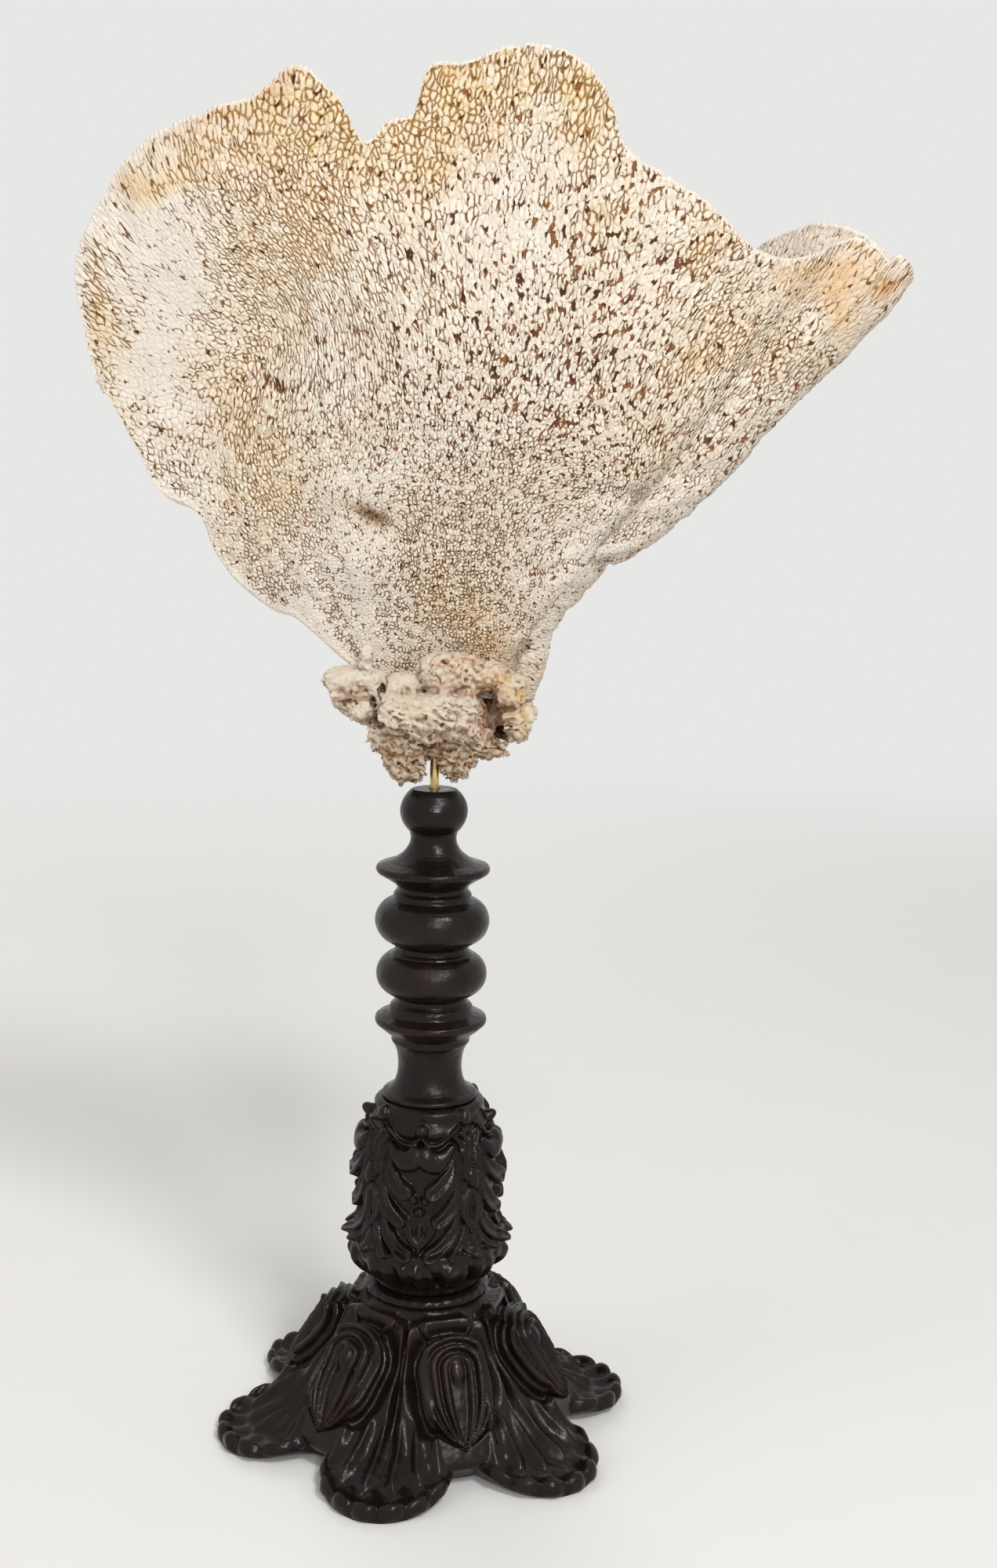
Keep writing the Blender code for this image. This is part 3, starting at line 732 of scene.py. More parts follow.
def blade_plan(tables, along, up):
    """Straight lines from foot to rim, with the left edge and the fold on the right drawn in or out."""
    def at(name):
        column = tables[name]
        if column.ndim == 1:
            return np.interp(along, tables["along"], column)[..., None]
        return np.stack([np.interp(along, tables["along"], part) for part in column.T], axis=-1)

    left, fold = (np.interp(up, *smooth_curve(edge, CURVE_STEPS).T)[..., None] for edge in (LEFT_EDGE, RIGHT_FOLD))
    plan = at("foot") + (at("rim") - at("foot")) * up[..., None]
    return plan + left * at("near_left") * LEFT_EDGE_OUTWARD + fold * at("near_fold") * RIGHT_FOLD_INWARD


def blade_middle(tables, along, up):
    """The blade's middle surface at a distance along the rim and a share of the way up.

    In front of the fold, the depth comes from the place on the fan: a line from the foot's depth to the envelope's,
    less half a sine wave for the bow towards -Y. Close to the fold it rises to the fold's depth as a quarter of an
    ellipse. Behind the fold it keeps the depth of the straight lines.
    """
    middle = blade_plan(tables, along, up)
    angle, radius = fan_place(middle)
    reach = np.interp(angle, tables["angle"], tables["radius"])
    depth = np.interp(angle, tables["angle"], tables["depth"])
    out = np.clip((radius - FOOT_REACH) / (reach - FOOT_REACH), 0.0, 1.0)
    first, last = tables["angle"][0] - BOW_MARGIN, tables["angle"][-1] + BOW_MARGIN
    share = np.clip((angle - first) / (last - first), 0.0, 1.0)
    bow = BLADE_BOW * np.sin(math.pi * out) * np.sin(math.pi * share)
    flat = FOOT_Y + (depth - FOOT_Y) * out - bow
    line_x, line_y, line_z = tables["fold_line"].T
    fold_x, fold_y = (np.interp(middle[..., 2], line_z, part) for part in (line_x, line_y))
    near = np.clip(1.0 - (fold_x - middle[..., 0]) / (CURL_REACH * (0.4 + 0.6 * up)), 0.0, 1.0)
    front = flat + (fold_y - flat) * (1.0 - np.sqrt(1.0 - near**2))
    middle[..., 1] = np.where(along < tables["fold"], front, middle[..., 1])
    return middle


def fan_place(points):
    """Angle and distance of points from the fan's centre, seen along Y."""
    off = points - FAN_CENTRE
    return np.arctan2(off[..., 0], off[..., 2]), np.hypot(off[..., 0], off[..., 2])


def patches(points, spots, wander):
    """How strongly a point lies in any of the spots: Gaussians in x and z whose outline noise has moved."""
    x, z = points[..., 0] + wander[0], points[..., 2] + wander[1]
    total = np.zeros_like(x)
    for centre_x, centre_z, wide, high, strength in spots:
        total += strength * bell((x - centre_x) / wide, (z - centre_z) / high)
    return np.clip(total, 0.0, 1.0)


def fan_angle(tables, along, seen):
    """Angle round the fan's centre, carried on round the fold by the distance along a row near the rim."""
    middle = blade_middle(tables, tables["along"], np.full(len(tables["along"]), FOLD_ROW_UP))
    radius = np.linalg.norm((middle - FAN_CENTRE)[:, [0, 2]], axis=1)
    steps = np.linalg.norm(np.diff(middle, axis=0), axis=1) / (0.5 * (radius[1:] + radius[:-1]))
    angle = np.concatenate([[0.0], np.cumsum(steps)])
    anchor = np.interp(0.5, tables["open"][::-1], tables["along"][::-1])
    angle += np.interp(anchor, tables["along"], fan_place(lean_grain(middle))[0] - angle)
    spread = np.interp(along, tables["along"], tables["open"])
    return seen * spread + np.interp(along, tables["along"], angle) * (1.0 - spread)


def lean_grain(points):
    """Points turned and spread about each of the grain's turns, as seen along Y, by a Gaussian of the distance."""
    points = points.copy()
    for centre_x, centre_z, reach, degrees, finer in GRAIN_TURNS:
        x, z = points[..., 0] - centre_x, points[..., 2] - centre_z
        share = np.exp(-(x**2 + z**2) / reach**2)
        turn, spread = math.radians(degrees) * share, 1.0 + finer * share
        points[..., 0] = centre_x + spread * (x * np.cos(turn) - z * np.sin(turn))
        points[..., 2] = centre_z + spread * (x * np.sin(turn) + z * np.cos(turn))
    return points


def streaks(angle, radius, across, along, layer):
    """Noise drawn out along the fan's rays: its lattice is `across` mm wide 100 mm out, and `along` mm long."""
    return noise(np.stack([angle * 100.0 / across, radius / along, 0.0 * radius], axis=-1), 1.0, layer)


def sponge_relief(middle, along, up, from_edge, place, porous, side):
    """Height of the sponge's surface over its plain skin, in mm, on the front (side 1) or back (side -1).

    It is the sum of broad swellings, ridges along the rays low on the left flank, wrinkles across the right one, a
    dimple with a swelling under it, a rolled border down the left edge, pits, and a fine grain of knobs. The second
    result is how far each point lies in a pit, a furrow or the dimple.
    """
    angle, radius, fan = place
    layer = 0 if side > 0 else 2
    shape = 1.7 * noise(middle, 34.0, layer) + 0.7 * fractal(middle, 11.0, 2, layer)
    x, z = middle[..., 0], middle[..., 2]
    degrees = np.degrees(angle)
    left_flank = 0.7 * step_between(-15.0, -25.0, degrees) * step_between(125.0, 85.0, radius)
    rays = streaks(angle, radius, 3.4, 15.0, layer) + 0.7 * streaks(angle, radius, 7.0, 24.0, layer + 1)
    right_flank = step_between(15.0, 27.0, degrees) * step_between(165.0, 120.0, radius)
    right_flank *= step_between(45.0, 60.0, radius)
    tilt = math.radians(20.0)
    across = x * math.cos(tilt) + z * math.sin(tilt)
    level = np.stack([across / 9.0, (z * math.cos(tilt) - x * math.sin(tilt)) / 2.3, 0.0 * x + side], axis=-1)
    wrinkles = noise(level, 1.0, 1) + 0.35 * noise(level * (0.6, 0.6, 1.0), 1.0, 2)
    shape += left_flank * rays + 0.15 * rays + 1.3 * right_flank * wrinkles
    furrow = left_flank * step_between(0.05, -0.75, rays) + 0.15 * step_between(0.0, -0.6, rays)
    furrow += right_flank * step_between(0.0, -0.6, wrinkles)
    first, _, chance = nearest_seeds(fan + (0.0, 0.0, 40.0 * side), 2.2, layer)
    pit = step_between(0.34, 0.10, first) * step_between(0.52, 0.62, chance) * (0.15 + 0.85 * porous)
    shape -= 0.9 * pit
    hollow = np.zeros_like(x)
    if side > 0:
        dimple = bell((x + 22.5) / 5.2, (z - 324.5 + 0.35 * (x + 22.5)) / 2.2)
        swelling = bell((x + 27.0) / 15.0, (z - 309.0) / 12.0)
        brow = bell((x + 26.0) / 12.0, (z - 333.0) / 5.0)
        shape += 5.6 * swelling + 1.6 * brow - 7.0 * dimple
        pit = np.maximum(pit, 0.9 * dimple**2)
        # The hollow mark paints shade into the dimple.
        hollow = dimple**0.7
        for pit_x, pit_z, reach, depth in PITS:
            hole = np.exp(-((x - pit_x) ** 2 + ((z - pit_z) / 1.4) ** 2) / reach**2)
            shape -= depth * hole
            pit = np.maximum(pit, hole)
    from_left = along * (0.25 + 0.75 * up)
    border = step_between(8.0, 3.0, from_left) * step_between(0.02, 0.2, up)
    groove = bell((from_left - 6.0) / 1.8)
    shape += border * (0.5 + 0.5 * noise(middle, 9.0, 2)) - 0.7 * groove
    first, second, _ = nearest_seeds(middle, 2.6, layer)
    shape += 0.28 * np.clip(second - first, 0.0, 0.35) / 0.35 - 0.14
    shape += 0.16 * noise(middle, 1.4, 1)
    marks = {"pit": pit, "furrow": furrow, "hollow": hollow}
    return shape * step_between(0.0, 3.0, from_edge), marks


def sponge_sheet(settings):
    """The blade's tables, and the share of the way up and the distances along the rim of each row of the sponge.

    Rows and columns crowd at the free edges, where the skin turns round. Half the columns stop on the way down to
    the narrow foot, and then half again, so that the faces stay about as large from rim to foot.
    """
    tables = blade_tables()
    total = tables["along"][-1]
    inner = np.linspace(EDGE_ROUND, total - EDGE_ROUND, settings.columns - 2 * len(EDGE_COLUMNS) + 1)
    columns = np.concatenate([EDGE_COLUMNS, inner, (total - EDGE_COLUMNS)[::-1]])
    columns = np.delete(columns, len(columns) // 2 + np.arange((len(columns) - 1) % 4))
    inner = np.linspace(0.0, 1.0 - EDGE_ROUND / MEAN_RULING, settings.rows)
    ups = np.concatenate([inner, (1.0 - EDGE_COLUMNS / MEAN_RULING)[::-1]])
    thinning = np.where(ups < FOURTHS_BELOW, 4, np.where(ups < HALVES_BELOW, 2, 1))
    return tables, [(up, columns[::step]) for up, step in zip(ups, thinning)]


def sheet_faces(index_rows):
    """Quads between rows of equal length, and three triangles to a step where the columns double."""
    quads, triangles = [], []
    for low, high in zip(index_rows[:-1], index_rows[1:]):
        if len(low) == len(high):
            quads.append(np.stack([low[:-1], low[1:], high[1:], high[:-1]], axis=1))
            continue
        left, middle, right = high[:-2:2], high[1:-1:2], high[2::2]
        triangles.append(np.stack([low[:-1], middle, left], axis=1))
        triangles.append(np.stack([low[:-1], low[1:], middle], axis=1))
        triangles.append(np.stack([low[1:], right, middle], axis=1))
    return np.concatenate(quads), np.concatenate(triangles)


def skin_faces(counts):
    """Which points the back skin has of its own, and the faces of the front skin, the back skin and the sole.

    The skins share the points of the free edges, which are the ends of each row and all of the last row. The sole
    joins their first rows.
    """
    starts = np.concatenate([[0], np.cumsum(counts)])
    size = starts[-1]
    front = [np.arange(start, end) for start, end in zip(starts[:-1], starts[1:])]
    own = np.ones(size, dtype=bool)
    for row in front:
        own[row[[0, -1]]] = False
    own[front[-1]] = False
    number = np.arange(size)
    number[own] = size + np.arange(own.sum())
    back = [number[row] for row in front]
    front_quads, front_triangles = sheet_faces(front)
    back_quads, back_triangles = sheet_faces(back)
    near, far = front[0], back[0]
    sole_quads = np.stack([near[1:-2], far[1:-2], far[2:-1], near[2:-1]], axis=1)
    sole_ends = np.array([[near[0], far[1], near[1]], [near[-1], near[-2], far[-2]]])
    quads = np.concatenate([front_quads, back_quads[:, ::-1], sole_quads])
    return own, quads, np.concatenate([front_triangles, back_triangles[:, ::-1], sole_ends])


def cell_count(radius, cell_width):
    """Radius on the fan's own map, whose unit is one cell.

    A cell is `stretch` times as long as it is wide, so the map's radius grows by its own share over the stretch:
    the logarithm of the map's radius is the sum of the steps of the logarithm of the radius over the stretch.
    """
    logs = np.linspace(*(math.log(reach) for reach in FAN_REACHES), 400)
    stretch = np.interp(np.exp(logs), *zip(*FAN_STRETCH))
    grown = np.concatenate([[0.0], np.cumsum(np.diff(logs) / (0.5 * (stretch[1:] + stretch[:-1])))])
    grown += math.log(FAN_RIM_RADIUS / cell_width) - np.interp(math.log(FAN_RIM_RADIUS), logs, grown)
    return np.exp(np.interp(np.log(np.maximum(radius, 1.0)), logs, grown))


def build_sponge(settings):
    """The sponge: a ruled sheet with two skins that meet along its free edges.

    Each skin lies half the local thickness to its side of the middle surface, times a quarter-circle profile that
    falls to nothing at the edge, plus the relief.
    """
    tables, rows = sponge_sheet(settings)
    total = tables["along"][-1]
    along = np.concatenate([columns for _, columns in rows])
    up = np.concatenate([np.full(len(columns), share) for share, columns in rows])
    middle = blade_middle(tables, along, up)
    after, before = (np.clip(along + shift, 0.0, total) for shift in (SLOPE_SPAN_ALONG, -SLOPE_SPAN_ALONG))
    across = blade_middle(tables, after, up) - blade_middle(tables, before, up)
    above, below = (
        blade_middle(tables, along, np.clip(up + shift, 0.0, 1.0)) for shift in (SLOPE_SPAN_UP, -SLOPE_SPAN_UP)
    )
    normal = unit(np.cross(across, above - below))

    ruling = np.linalg.norm(blade_middle(tables, along, np.ones_like(up)) - middle, axis=1)
    share_across = np.linalg.norm(across, axis=1) / (after - before)
    from_side = np.minimum(along, total - along) * share_across
    from_edge = np.minimum(ruling, from_side)
    inward = np.clip(from_edge / EDGE_ROUND, 0.0, 1.0)
    round_off = np.sqrt(1.0 - (1.0 - inward) ** 2)
    half = 0.5 * (BLADE_THICKNESS_FOOT + (BLADE_THICKNESS_RIM - BLADE_THICKNESS_FOOT) * up)

    # Nicks and a slight raggedness of the free edges, which draw the edge in along the sheet.
    inwards = unit(below - above)
    edge_place = np.stack([along, 0 * along, 0 * along], axis=1)
    ragged = 0.55 * noise(edge_place, 3.1, 1) + 0.45 * noise(edge_place, 8.0, 2)
    nicks = 1.5 * step_between(0.62, 0.85, noise(edge_place, 2.3, 3))
    middle = middle + inwards * ((ragged + nicks + 0.6) * step_between(7.0, 0.0, ruling))[:, None]
    ruffle = 0.9 * noise(np.stack([up * 130.0, 0 * up, 0 * up], axis=1), 7.0, 1)
    near_left = step_between(6.0, 0.0, along * share_across) * step_between(0.05, 0.2, up)
    middle = middle + unit(across) * ((ruffle + 0.4) * near_left)[:, None]

    seen, radius = fan_place(lean_grain(middle))
    angle = fan_angle(tables, along, seen)
    cells_out = cell_count(radius, settings.cell_width / MM)
    fan = np.stack([cells_out * np.sin(angle), cells_out * np.cos(angle), 0.0 * angle], axis=1)
    wander = (9.0 * noise(middle, 13.0, 1), 9.0 * noise(middle, 13.0, 2))
    porous = patches(middle, PORE_PATCHES, wander)
    skins, sunk = [], []
    for side in (1.0, -1.0):
        relief, places = sponge_relief(middle, along, up, from_edge, (angle, radius, fan), porous, side)
        skins.append(middle + normal * (side * (half * round_off + relief))[:, None])
        sunk.append(places)

    own, quads, triangles = skin_faces([len(columns) for _, columns in rows])
    beyond_fold = step_between(0.0, 1.0, along - total * FLAP_FROM)
    near_side = along * share_across
    ochre = patches(middle, OCHRE_PATCHES, wander)
    smooth_side = np.maximum(0.9 * step_between(6.5, 3.5, near_side), 0.2 * beyond_fold)
    lip_width = np.interp(along, *zip(*LIP_WIDTHS))
    marks = {
        "ochre": ochre * (1.0 - beyond_fold),
        "orange": patches(middle, ORANGE_PATCHES, wander),
        "chalk": np.maximum(patches(middle, CHALK_PATCHES, wander), smooth_side),
        "porous": porous,
        "pink": step_between(7.0, 2.0, near_side) * (0.6 + 0.4 * noise(middle, 8.0, 3)) + 0.25 * beyond_fold,
        "rim": step_between(1.5, 0.4, from_edge),
        "lip": step_between(1.0, 0.6, ruling / lip_width) * (up > 0.5),
        "netted": 0.25 + 0.65 * ochre + 0.7 * patches(middle, NETTED_PATCHES, wander) - 0.25 * porous,
        "bare": np.maximum(patches(middle, BARE_PATCHES, wander), 0.5 * beyond_fold),
    }
    both = {
        mark: np.concatenate([values, (1.0 if mark == "rim" else BACK_MARKS) * values[own]])
        for mark, values in marks.items()
    }
    both |= {mark: np.concatenate([values, sunk[1][mark][own]]) for mark, values in sunk[0].items()}
    points = np.concatenate([skins[0], skins[1][own]])
    fan = np.concatenate([fan, fan[own]])[:, :2]
    piece = make_piece("sponge_fan", points, quads, triangles, sponge_material(settings), fan, both)
    install(piece, "sponge")


# ------------ the clump of rubble

# Lumps of the rubble: (centre, half-sizes, squareness), in mm. Squareness 2 is an ellipsoid, and more is boxier.
RUBBLE_LUMPS = (
    ((-27.5, -2, 269.2), (10.5, 8.5, 4.7), 2.6), ((-35.6, -3, 269.6), (3.3, 5, 3), 2),
    ((-29.5, -1, 263.5), (6.5, 7, 5.5), 2), ((-25, -2, 259.6), (6, 7, 5), 2),
    ((-23.3, -8, 277), (2.5, 2.6, 5.3), 2.2), ((-10, -4, 268), (7.5, 6.5, 4.4), 2.2),
    ((4, -9, 258), (11.4, 8, 7.6), 4), ((-11.5, -8, 261), (8, 7.2, 5), 3),
    ((5, -3.5, 272), (12, 8.8, 8), 2.3), ((17, -2.5, 271.6), (8.5, 8, 5), 2.2),
    ((25.2, -3, 267), (6.2, 7, 6.2), 2.2), ((27.8, -2.5, 258.5), (4.8, 5.5, 5.5), 2.2),
    ((29, -2.5, 252.6), (4, 4.4, 4.4), 2), ((33.2, -3, 260.3), (1.7, 2, 1.6), 2),
    ((25.3, -7, 258.6), (3, 2.4, 0.9), 3), ((23.4, -3, 248.4), (2.2, 1.8, 1.2), 2),
    ((20.6, -2, 245.6), (3, 2.8, 1.6), 2), ((17.2, -1, 247.5), (4.6, 4.6, 5), 2),
    ((0, 3, 255), (17.5, 12, 14), 2.4), ((-16, -2, 251), (6.8, 7.5, 6), 2.2),
    ((-11.5, -3, 243.2), (6.2, 7, 7.6), 2.2), ((-9, -4, 239), (5.2, 5.6, 4.6), 2.2),
    ((8, -2, 243.5), (6.2, 7, 7.8), 2.4), ((8.8, -3, 239.6), (4.6, 5.4, 3.8), 2.2),
    ((-4, 17, 260), (25, 11.5, 12), 2.4), ((24, 14, 257), (10.5, 11, 11.5), 2.2),
)
# Broken blocks: the outline seen from the front as (x, z), run counterclockwise, then the faces that bound it front
# and back, each as (y, z) of a point on it and (y, z) of its direction outwards.
RUBBLE_BLOCKS = (
    (
        (
            (-19.8, 262.4), (-18.3, 258.2), (-10.1, 253.4), (-2, 249.2),
            (15.5, 250.8), (17, 257.9), (13.6, 266.8), (-9, 267.6),
        ),
        ((-19.4, 258, -1, 0.1), (-18.4, 262.6, -0.45, 0.89), (-19.6, 256, -0.8, -0.6), (-2, 260, 1, 0)),
    ),
    (
        ((-38.6, 270.8), (-36.6, 266.2), (-30, 258.2), (-23, 255.6), (-18, 262), (-18.6, 272.4), (-30, 274.4)),
        ((-9.5, 266, -1, 0), (-8.6, 270.4, -0.55, 0.83), (-9, 264, -0.75, -0.66), (6, 266, 1, 0)),
    ),
    (
        (
            (-23.2, 254.4), (-22, 248.6), (-17.2, 240), (-13, 235.2),
            (-8.5, 233.6), (-3.6, 236), (-3.4, 250), (-8, 256),
        ),
        ((-10.5, 247, -1, -0.25), (-8.5, 238, -0.8, -0.6), (4, 245, 1, 0)),
    ),
    (
        ((2.4, 250), (2.2, 238.6), (5.7, 235.9), (11.1, 235.1), (13.6, 241.4), (16.5, 250)),
        ((-10, 247, -1, -0.25), (-8, 239, -0.8, -0.6), (4, 245, 1, 0)),
    ),
    (
        ((22.8, 258.8), (25.5, 248.4), (31.5, 250), (34.6, 258), (34.2, 261.4), (28, 262)),
        ((-7.5, 256, -1, 0.15), (-6.6, 260, -0.6, 0.8), (-7, 252, -0.8, -0.6), (3, 255, 1, 0)),
    ),
)
# Hollows and gaps cut out of the clump, in the lumps' terms.
RUBBLE_HOLLOWS = (
    ((18.6, -12, 258.2), (3.9, 12, 7.6), 3), ((20.2, -10, 252), (3, 13, 4.8), 2),
    ((21.8, -4, 251.2), (2.2, 24, 3.2), 2), ((-18.4, -12, 266.2), (0.85, 9, 2.4), 2),
    ((-20.8, -12, 262.4), (1.1, 10, 2.8), 2), ((-19, -9, 278.4), (1.5, 4.5, 4.2), 2),
    ((-9.2, -10, 274.4), (2.4, 6, 2.6), 2), ((-13, -16, 251.4), (7, 6, 1.5), 2),
    ((-4, -18, 247.2), (7, 6, 1.4), 2), ((8, -18, 247.4), (6, 5, 1.2), 2),
    ((-18, -11, 254.9), (2.1, 5, 1.3), 2), ((-1, -8, 238.4), (2.3, 10, 6.2), 2.4),
    ((-31, -10, 262), (3, 4, 1), 2), ((3, -12, 277), (1.6, 3, 1), 2),
)
# How far lumps run together, how far blocks are drawn in before that, the distance past which a lump's pull no
# longer changes, the depth of the craggy skin, and the room round the hollows and round the clump, in mm.
RUBBLE_BLEND = 0.55
BLOCK_INSET = 0.4
LUMP_REACH = 24.0
SKIN_DEPTH = 3.5
HOLLOW_MARGIN = 4.0
LATTICE_MARGIN = 5.0
# Rounds of smoothing that take the detail away, to tell crests from cracks.
SMOOTHING_ROUNDS = 14
# Where the clump is tinted: (x, z, half-width, half-height, strength), in mm.
RUBBLE_STAINS = (
    (27, 268, 8, 7, 1), (30, 256, 7, 8, 0.9), (12, 274, 6, 4, 0.6), (18, 269, 5, 4, 0.6),
    (-8, 264, 10, 4, 0.35), (-10, 244, 7, 5, 0.8), (20, 246, 6, 4, 0.7), (8, 243, 6, 5, 0.5),
    (-31, 268, 4, 3, 0.3),
)
RUBBLE_RUST = (
    (7, 275.5, 3.2, 2, 1), (2, 276, 2, 1.4, 0.8), (10, 272.5, 3, 1.6, 0.8), (13, 277, 3, 1.4, 0.7),
    (19.5, 270.5, 1.8, 2.6, 0.9), (14, 266.5, 6, 1.6, 0.8), (19, 263, 5, 4, 0.5), (0, 269, 3, 2, 0.4),
    (-18, 255, 4, 3, 0.5), (25, 262, 6, 1.6, 0.4), (19, 256, 5, 9, 1), (1, 247, 8, 2.5, 0.7),
    (-14, 250, 5, 3, 0.6),
)
RUBBLE_CREAM = (
    (-29, 271, 12, 5, 0.8), (-23, 278, 4, 7, 0.9), (-4, 263, 14, 5, 0.6), (14, 271.5, 4, 3, 0.7),
    (26, 264, 3.5, 3, 0.9),
)


def lump_distance(points, centre, half_sizes, squareness):
    """About how far points lie outside a lump: its scaled radius, less one, over that radius's slope.

    The scaled radius is the sum of the scaled offsets, each to the power of the squareness, to one over it.
    """
    half_sizes = np.asarray(half_sizes, dtype=float)
    scaled = np.abs(points - centre) / half_sizes
    away = np.maximum((scaled**squareness).sum(axis=-1) ** (1.0 / squareness), 1e-3)
    slope = np.linalg.norm((scaled / away[..., None]) ** (squareness - 1.0) / half_sizes, axis=-1)
    return (away - 1.0) / np.maximum(slope, 1e-3)


def block_distance(points, outline, faces):
    """How far points lie outside a block: the greatest distance in front of any of its planes."""
    x, y, z = (points[..., k] for k in range(3))
    corners = np.array(outline)
    away = np.full(x.shape, -99.0)
    for (start_x, start_z), (end_x, end_z) in zip(corners, np.roll(corners, -1, axis=0)):
        length = math.hypot(end_x - start_x, end_z - start_z)
        away = np.maximum(away, ((x - start_x) * (end_z - start_z) - (z - start_z) * (end_x - start_x)) / length)
    for face_y, face_z, out_y, out_z in faces:
        away = np.maximum(away, ((y - face_y) * out_y + (z - face_z) * out_z) / math.hypot(out_y, out_z))
    return away


def lumps_field(points):
    """Distance field of the lumps and blocks run together: minus the log of the sum of falling exponentials."""
    total = np.zeros(points.shape[:-1])
    bend = 0.7 * noise_shift(points, 5.0)
    distances = [lump_distance(points, *lump) for lump in RUBBLE_LUMPS]
    distances += [block_distance(points + bend, *block) + BLOCK_INSET for block in RUBBLE_BLOCKS]
    for away in distances:
        total += np.exp(-np.clip(away, -LUMP_REACH, LUMP_REACH) / RUBBLE_BLEND)
    return -RUBBLE_BLEND * np.log(np.maximum(total, 1e-10))


def rubble_field(lattice, step):
    """Distance field of the clump: lumps run together, hollows taken out, and near the surface a craggy skin.

    The skin adds undulations, knobs, fine grain and pits. It is calmer where the clump's top faces upwards, has
    winding channels on the left of the top, is layered on the front of the slab, and swells more at the back.
    """
    field = lumps_field(lattice)
    for centre, half_sizes, squareness in RUBBLE_HOLLOWS:
        low = np.floor((np.array(centre) - half_sizes - HOLLOW_MARGIN - lattice[0, 0, 0]) / step).astype(int)
        high = np.ceil((np.array(centre) + half_sizes + HOLLOW_MARGIN - lattice[0, 0, 0]) / step).astype(int)
        part = tuple(slice(max(first, 0), max(last, 0)) for first, last in zip(low, high))
        points = lattice[part]
        bent = points + 0.9 * noise_shift(points, 4.5)
        field[part] = np.maximum(field[part], -lump_distance(bent, centre, half_sizes, squareness))
    facing = np.gradient(field, step, axis=2)
    near = np.abs(field) < SKIN_DEPTH
    points, facing = lattice[near], facing[near]
    x, y, z = points.T
    calm = step_between(0.25, 0.8, facing) * step_between(259.0, 264.0, z)
    crag = 1.0 - 0.78 * calm * step_between(4.0, -4.0, x) - 0.45 * calm * step_between(-4.0, 4.0, x)
    bend = noise_shift(points, 3.0)
    first, second, chance = nearest_seeds(points + 0.9 * bend, 2.9, 1)
    knobs = np.clip(second - first, 0.0, 0.5) / 0.5
    pits = step_between(0.42, 0.20, first) * (chance > 0.62)
    skin = 0.7 * noise(points, 6.0, 2) + crag * (0.7 * noise(points, 3.1, 3) + 0.35 * noise(points, 1.5, 1))
    crag = crag * (1.0 + 0.7 * step_between(253.0, 247.0, z))
    skin += 1.7 * (noise(points, 8.5, 4) + 0.3) * step_between(4.0, 9.0, y)
    skin += crag * (0.7 * (0.6 - knobs) + 1.3 * pits) + 0.22 * noise(points, 0.95, 2)
    channels = bell(noise(points, 3.6, 0) / 0.13)
    skin += 0.8 * channels * step_between(-8.0, -2.0, x) * step_between(262.0, 268.0, z)

    # Broken plates: flattened cells, each set in or out by its own amount, with a crack round it.
    bedding = np.stack([x / 4.6, y / 4.6, (z + 0.25 * x) / 1.9], axis=-1) + 0.35 * bend
    first, second, chance = nearest_seeds(bedding, 1.0, 2)
    inside = second - first
    plates = 1.7 * (chance - 0.5) * step_between(0.0, 0.22, inside) + 0.9 * step_between(0.10, 0.0, inside)
    low_down = step_between(253.0, 248.0, z)
    on_front = np.maximum(step_between(-9.0, -14.0, y) * step_between(266.0, 262.0, z), 0.8 * low_down)
    skin += plates * (0.25 + 0.75 * on_front) * (0.35 + 0.65 * crag)
    field[near] += skin
    return field


def surface_net(field, origin, step):
    """The zero surface of a field on a lattice, as points and quads.

    Every lattice cell that the surface passes through gets one point, the mean of the crossings on its edges.
    Every lattice edge that it crosses gets a quad between the four cells round that edge.
    """
    cells = np.array(field.shape) - 1
    sums = np.zeros((cells.prod(), 3))
    counts = np.zeros(cells.prod())
    loops = []
    for axis in range(3):
        low = np.take(field, range(field.shape[axis] - 1), axis=axis)
        high = np.take(field, range(1, field.shape[axis]), axis=axis)
        place = np.argwhere((low < 0.0) != (high < 0.0))
        start, end = low[tuple(place.T)], high[tuple(place.T)]
        crossing = place.astype(float)
        crossing[:, axis] += start / (start - end)
        next_axis, last_axis = (axis + 1) % 3, (axis + 2) % 3
        corners = []
        for shift_next, shift_last in ((1, 1), (0, 1), (0, 0), (1, 0)):
            cell = place.copy()
            cell[:, next_axis] -= shift_next
            cell[:, last_axis] -= shift_last
            number = np.ravel_multi_index(cell.T, cells)
            for part in range(3):
                sums[:, part] += np.bincount(number, crossing[:, part], minlength=len(sums))
            counts += np.bincount(number, minlength=len(sums))
            corners.append(number)
        loop = np.stack(corners, axis=1)
        loops.append(np.where((start < 0.0)[:, None], loop, loop[:, ::-1]))
    used = np.flatnonzero(counts)
    renumber = np.full(len(counts), -1)
    renumber[used] = np.arange(len(used))
    points = sums[used] / counts[used][:, None] * step + origin
    return points, renumber[np.concatenate(loops)]


def largest_island(points, quads):
    """Keeps the largest connected part: every point takes the lowest number near it, again and again."""
    label = np.arange(len(points))
    while True:
        lowest = label[quads].min(axis=1)
        lower = label.copy()
        for corner in range(4):
            np.minimum.at(lower, quads[:, corner], lowest)
        lower = lower[lower]
        if (lower == label).all():
            break
        label = lower
    keep = label == np.bincount(label).argmax()
    number = np.cumsum(keep) - 1
    return points[keep], number[quads[keep[quads[:, 0]]]]


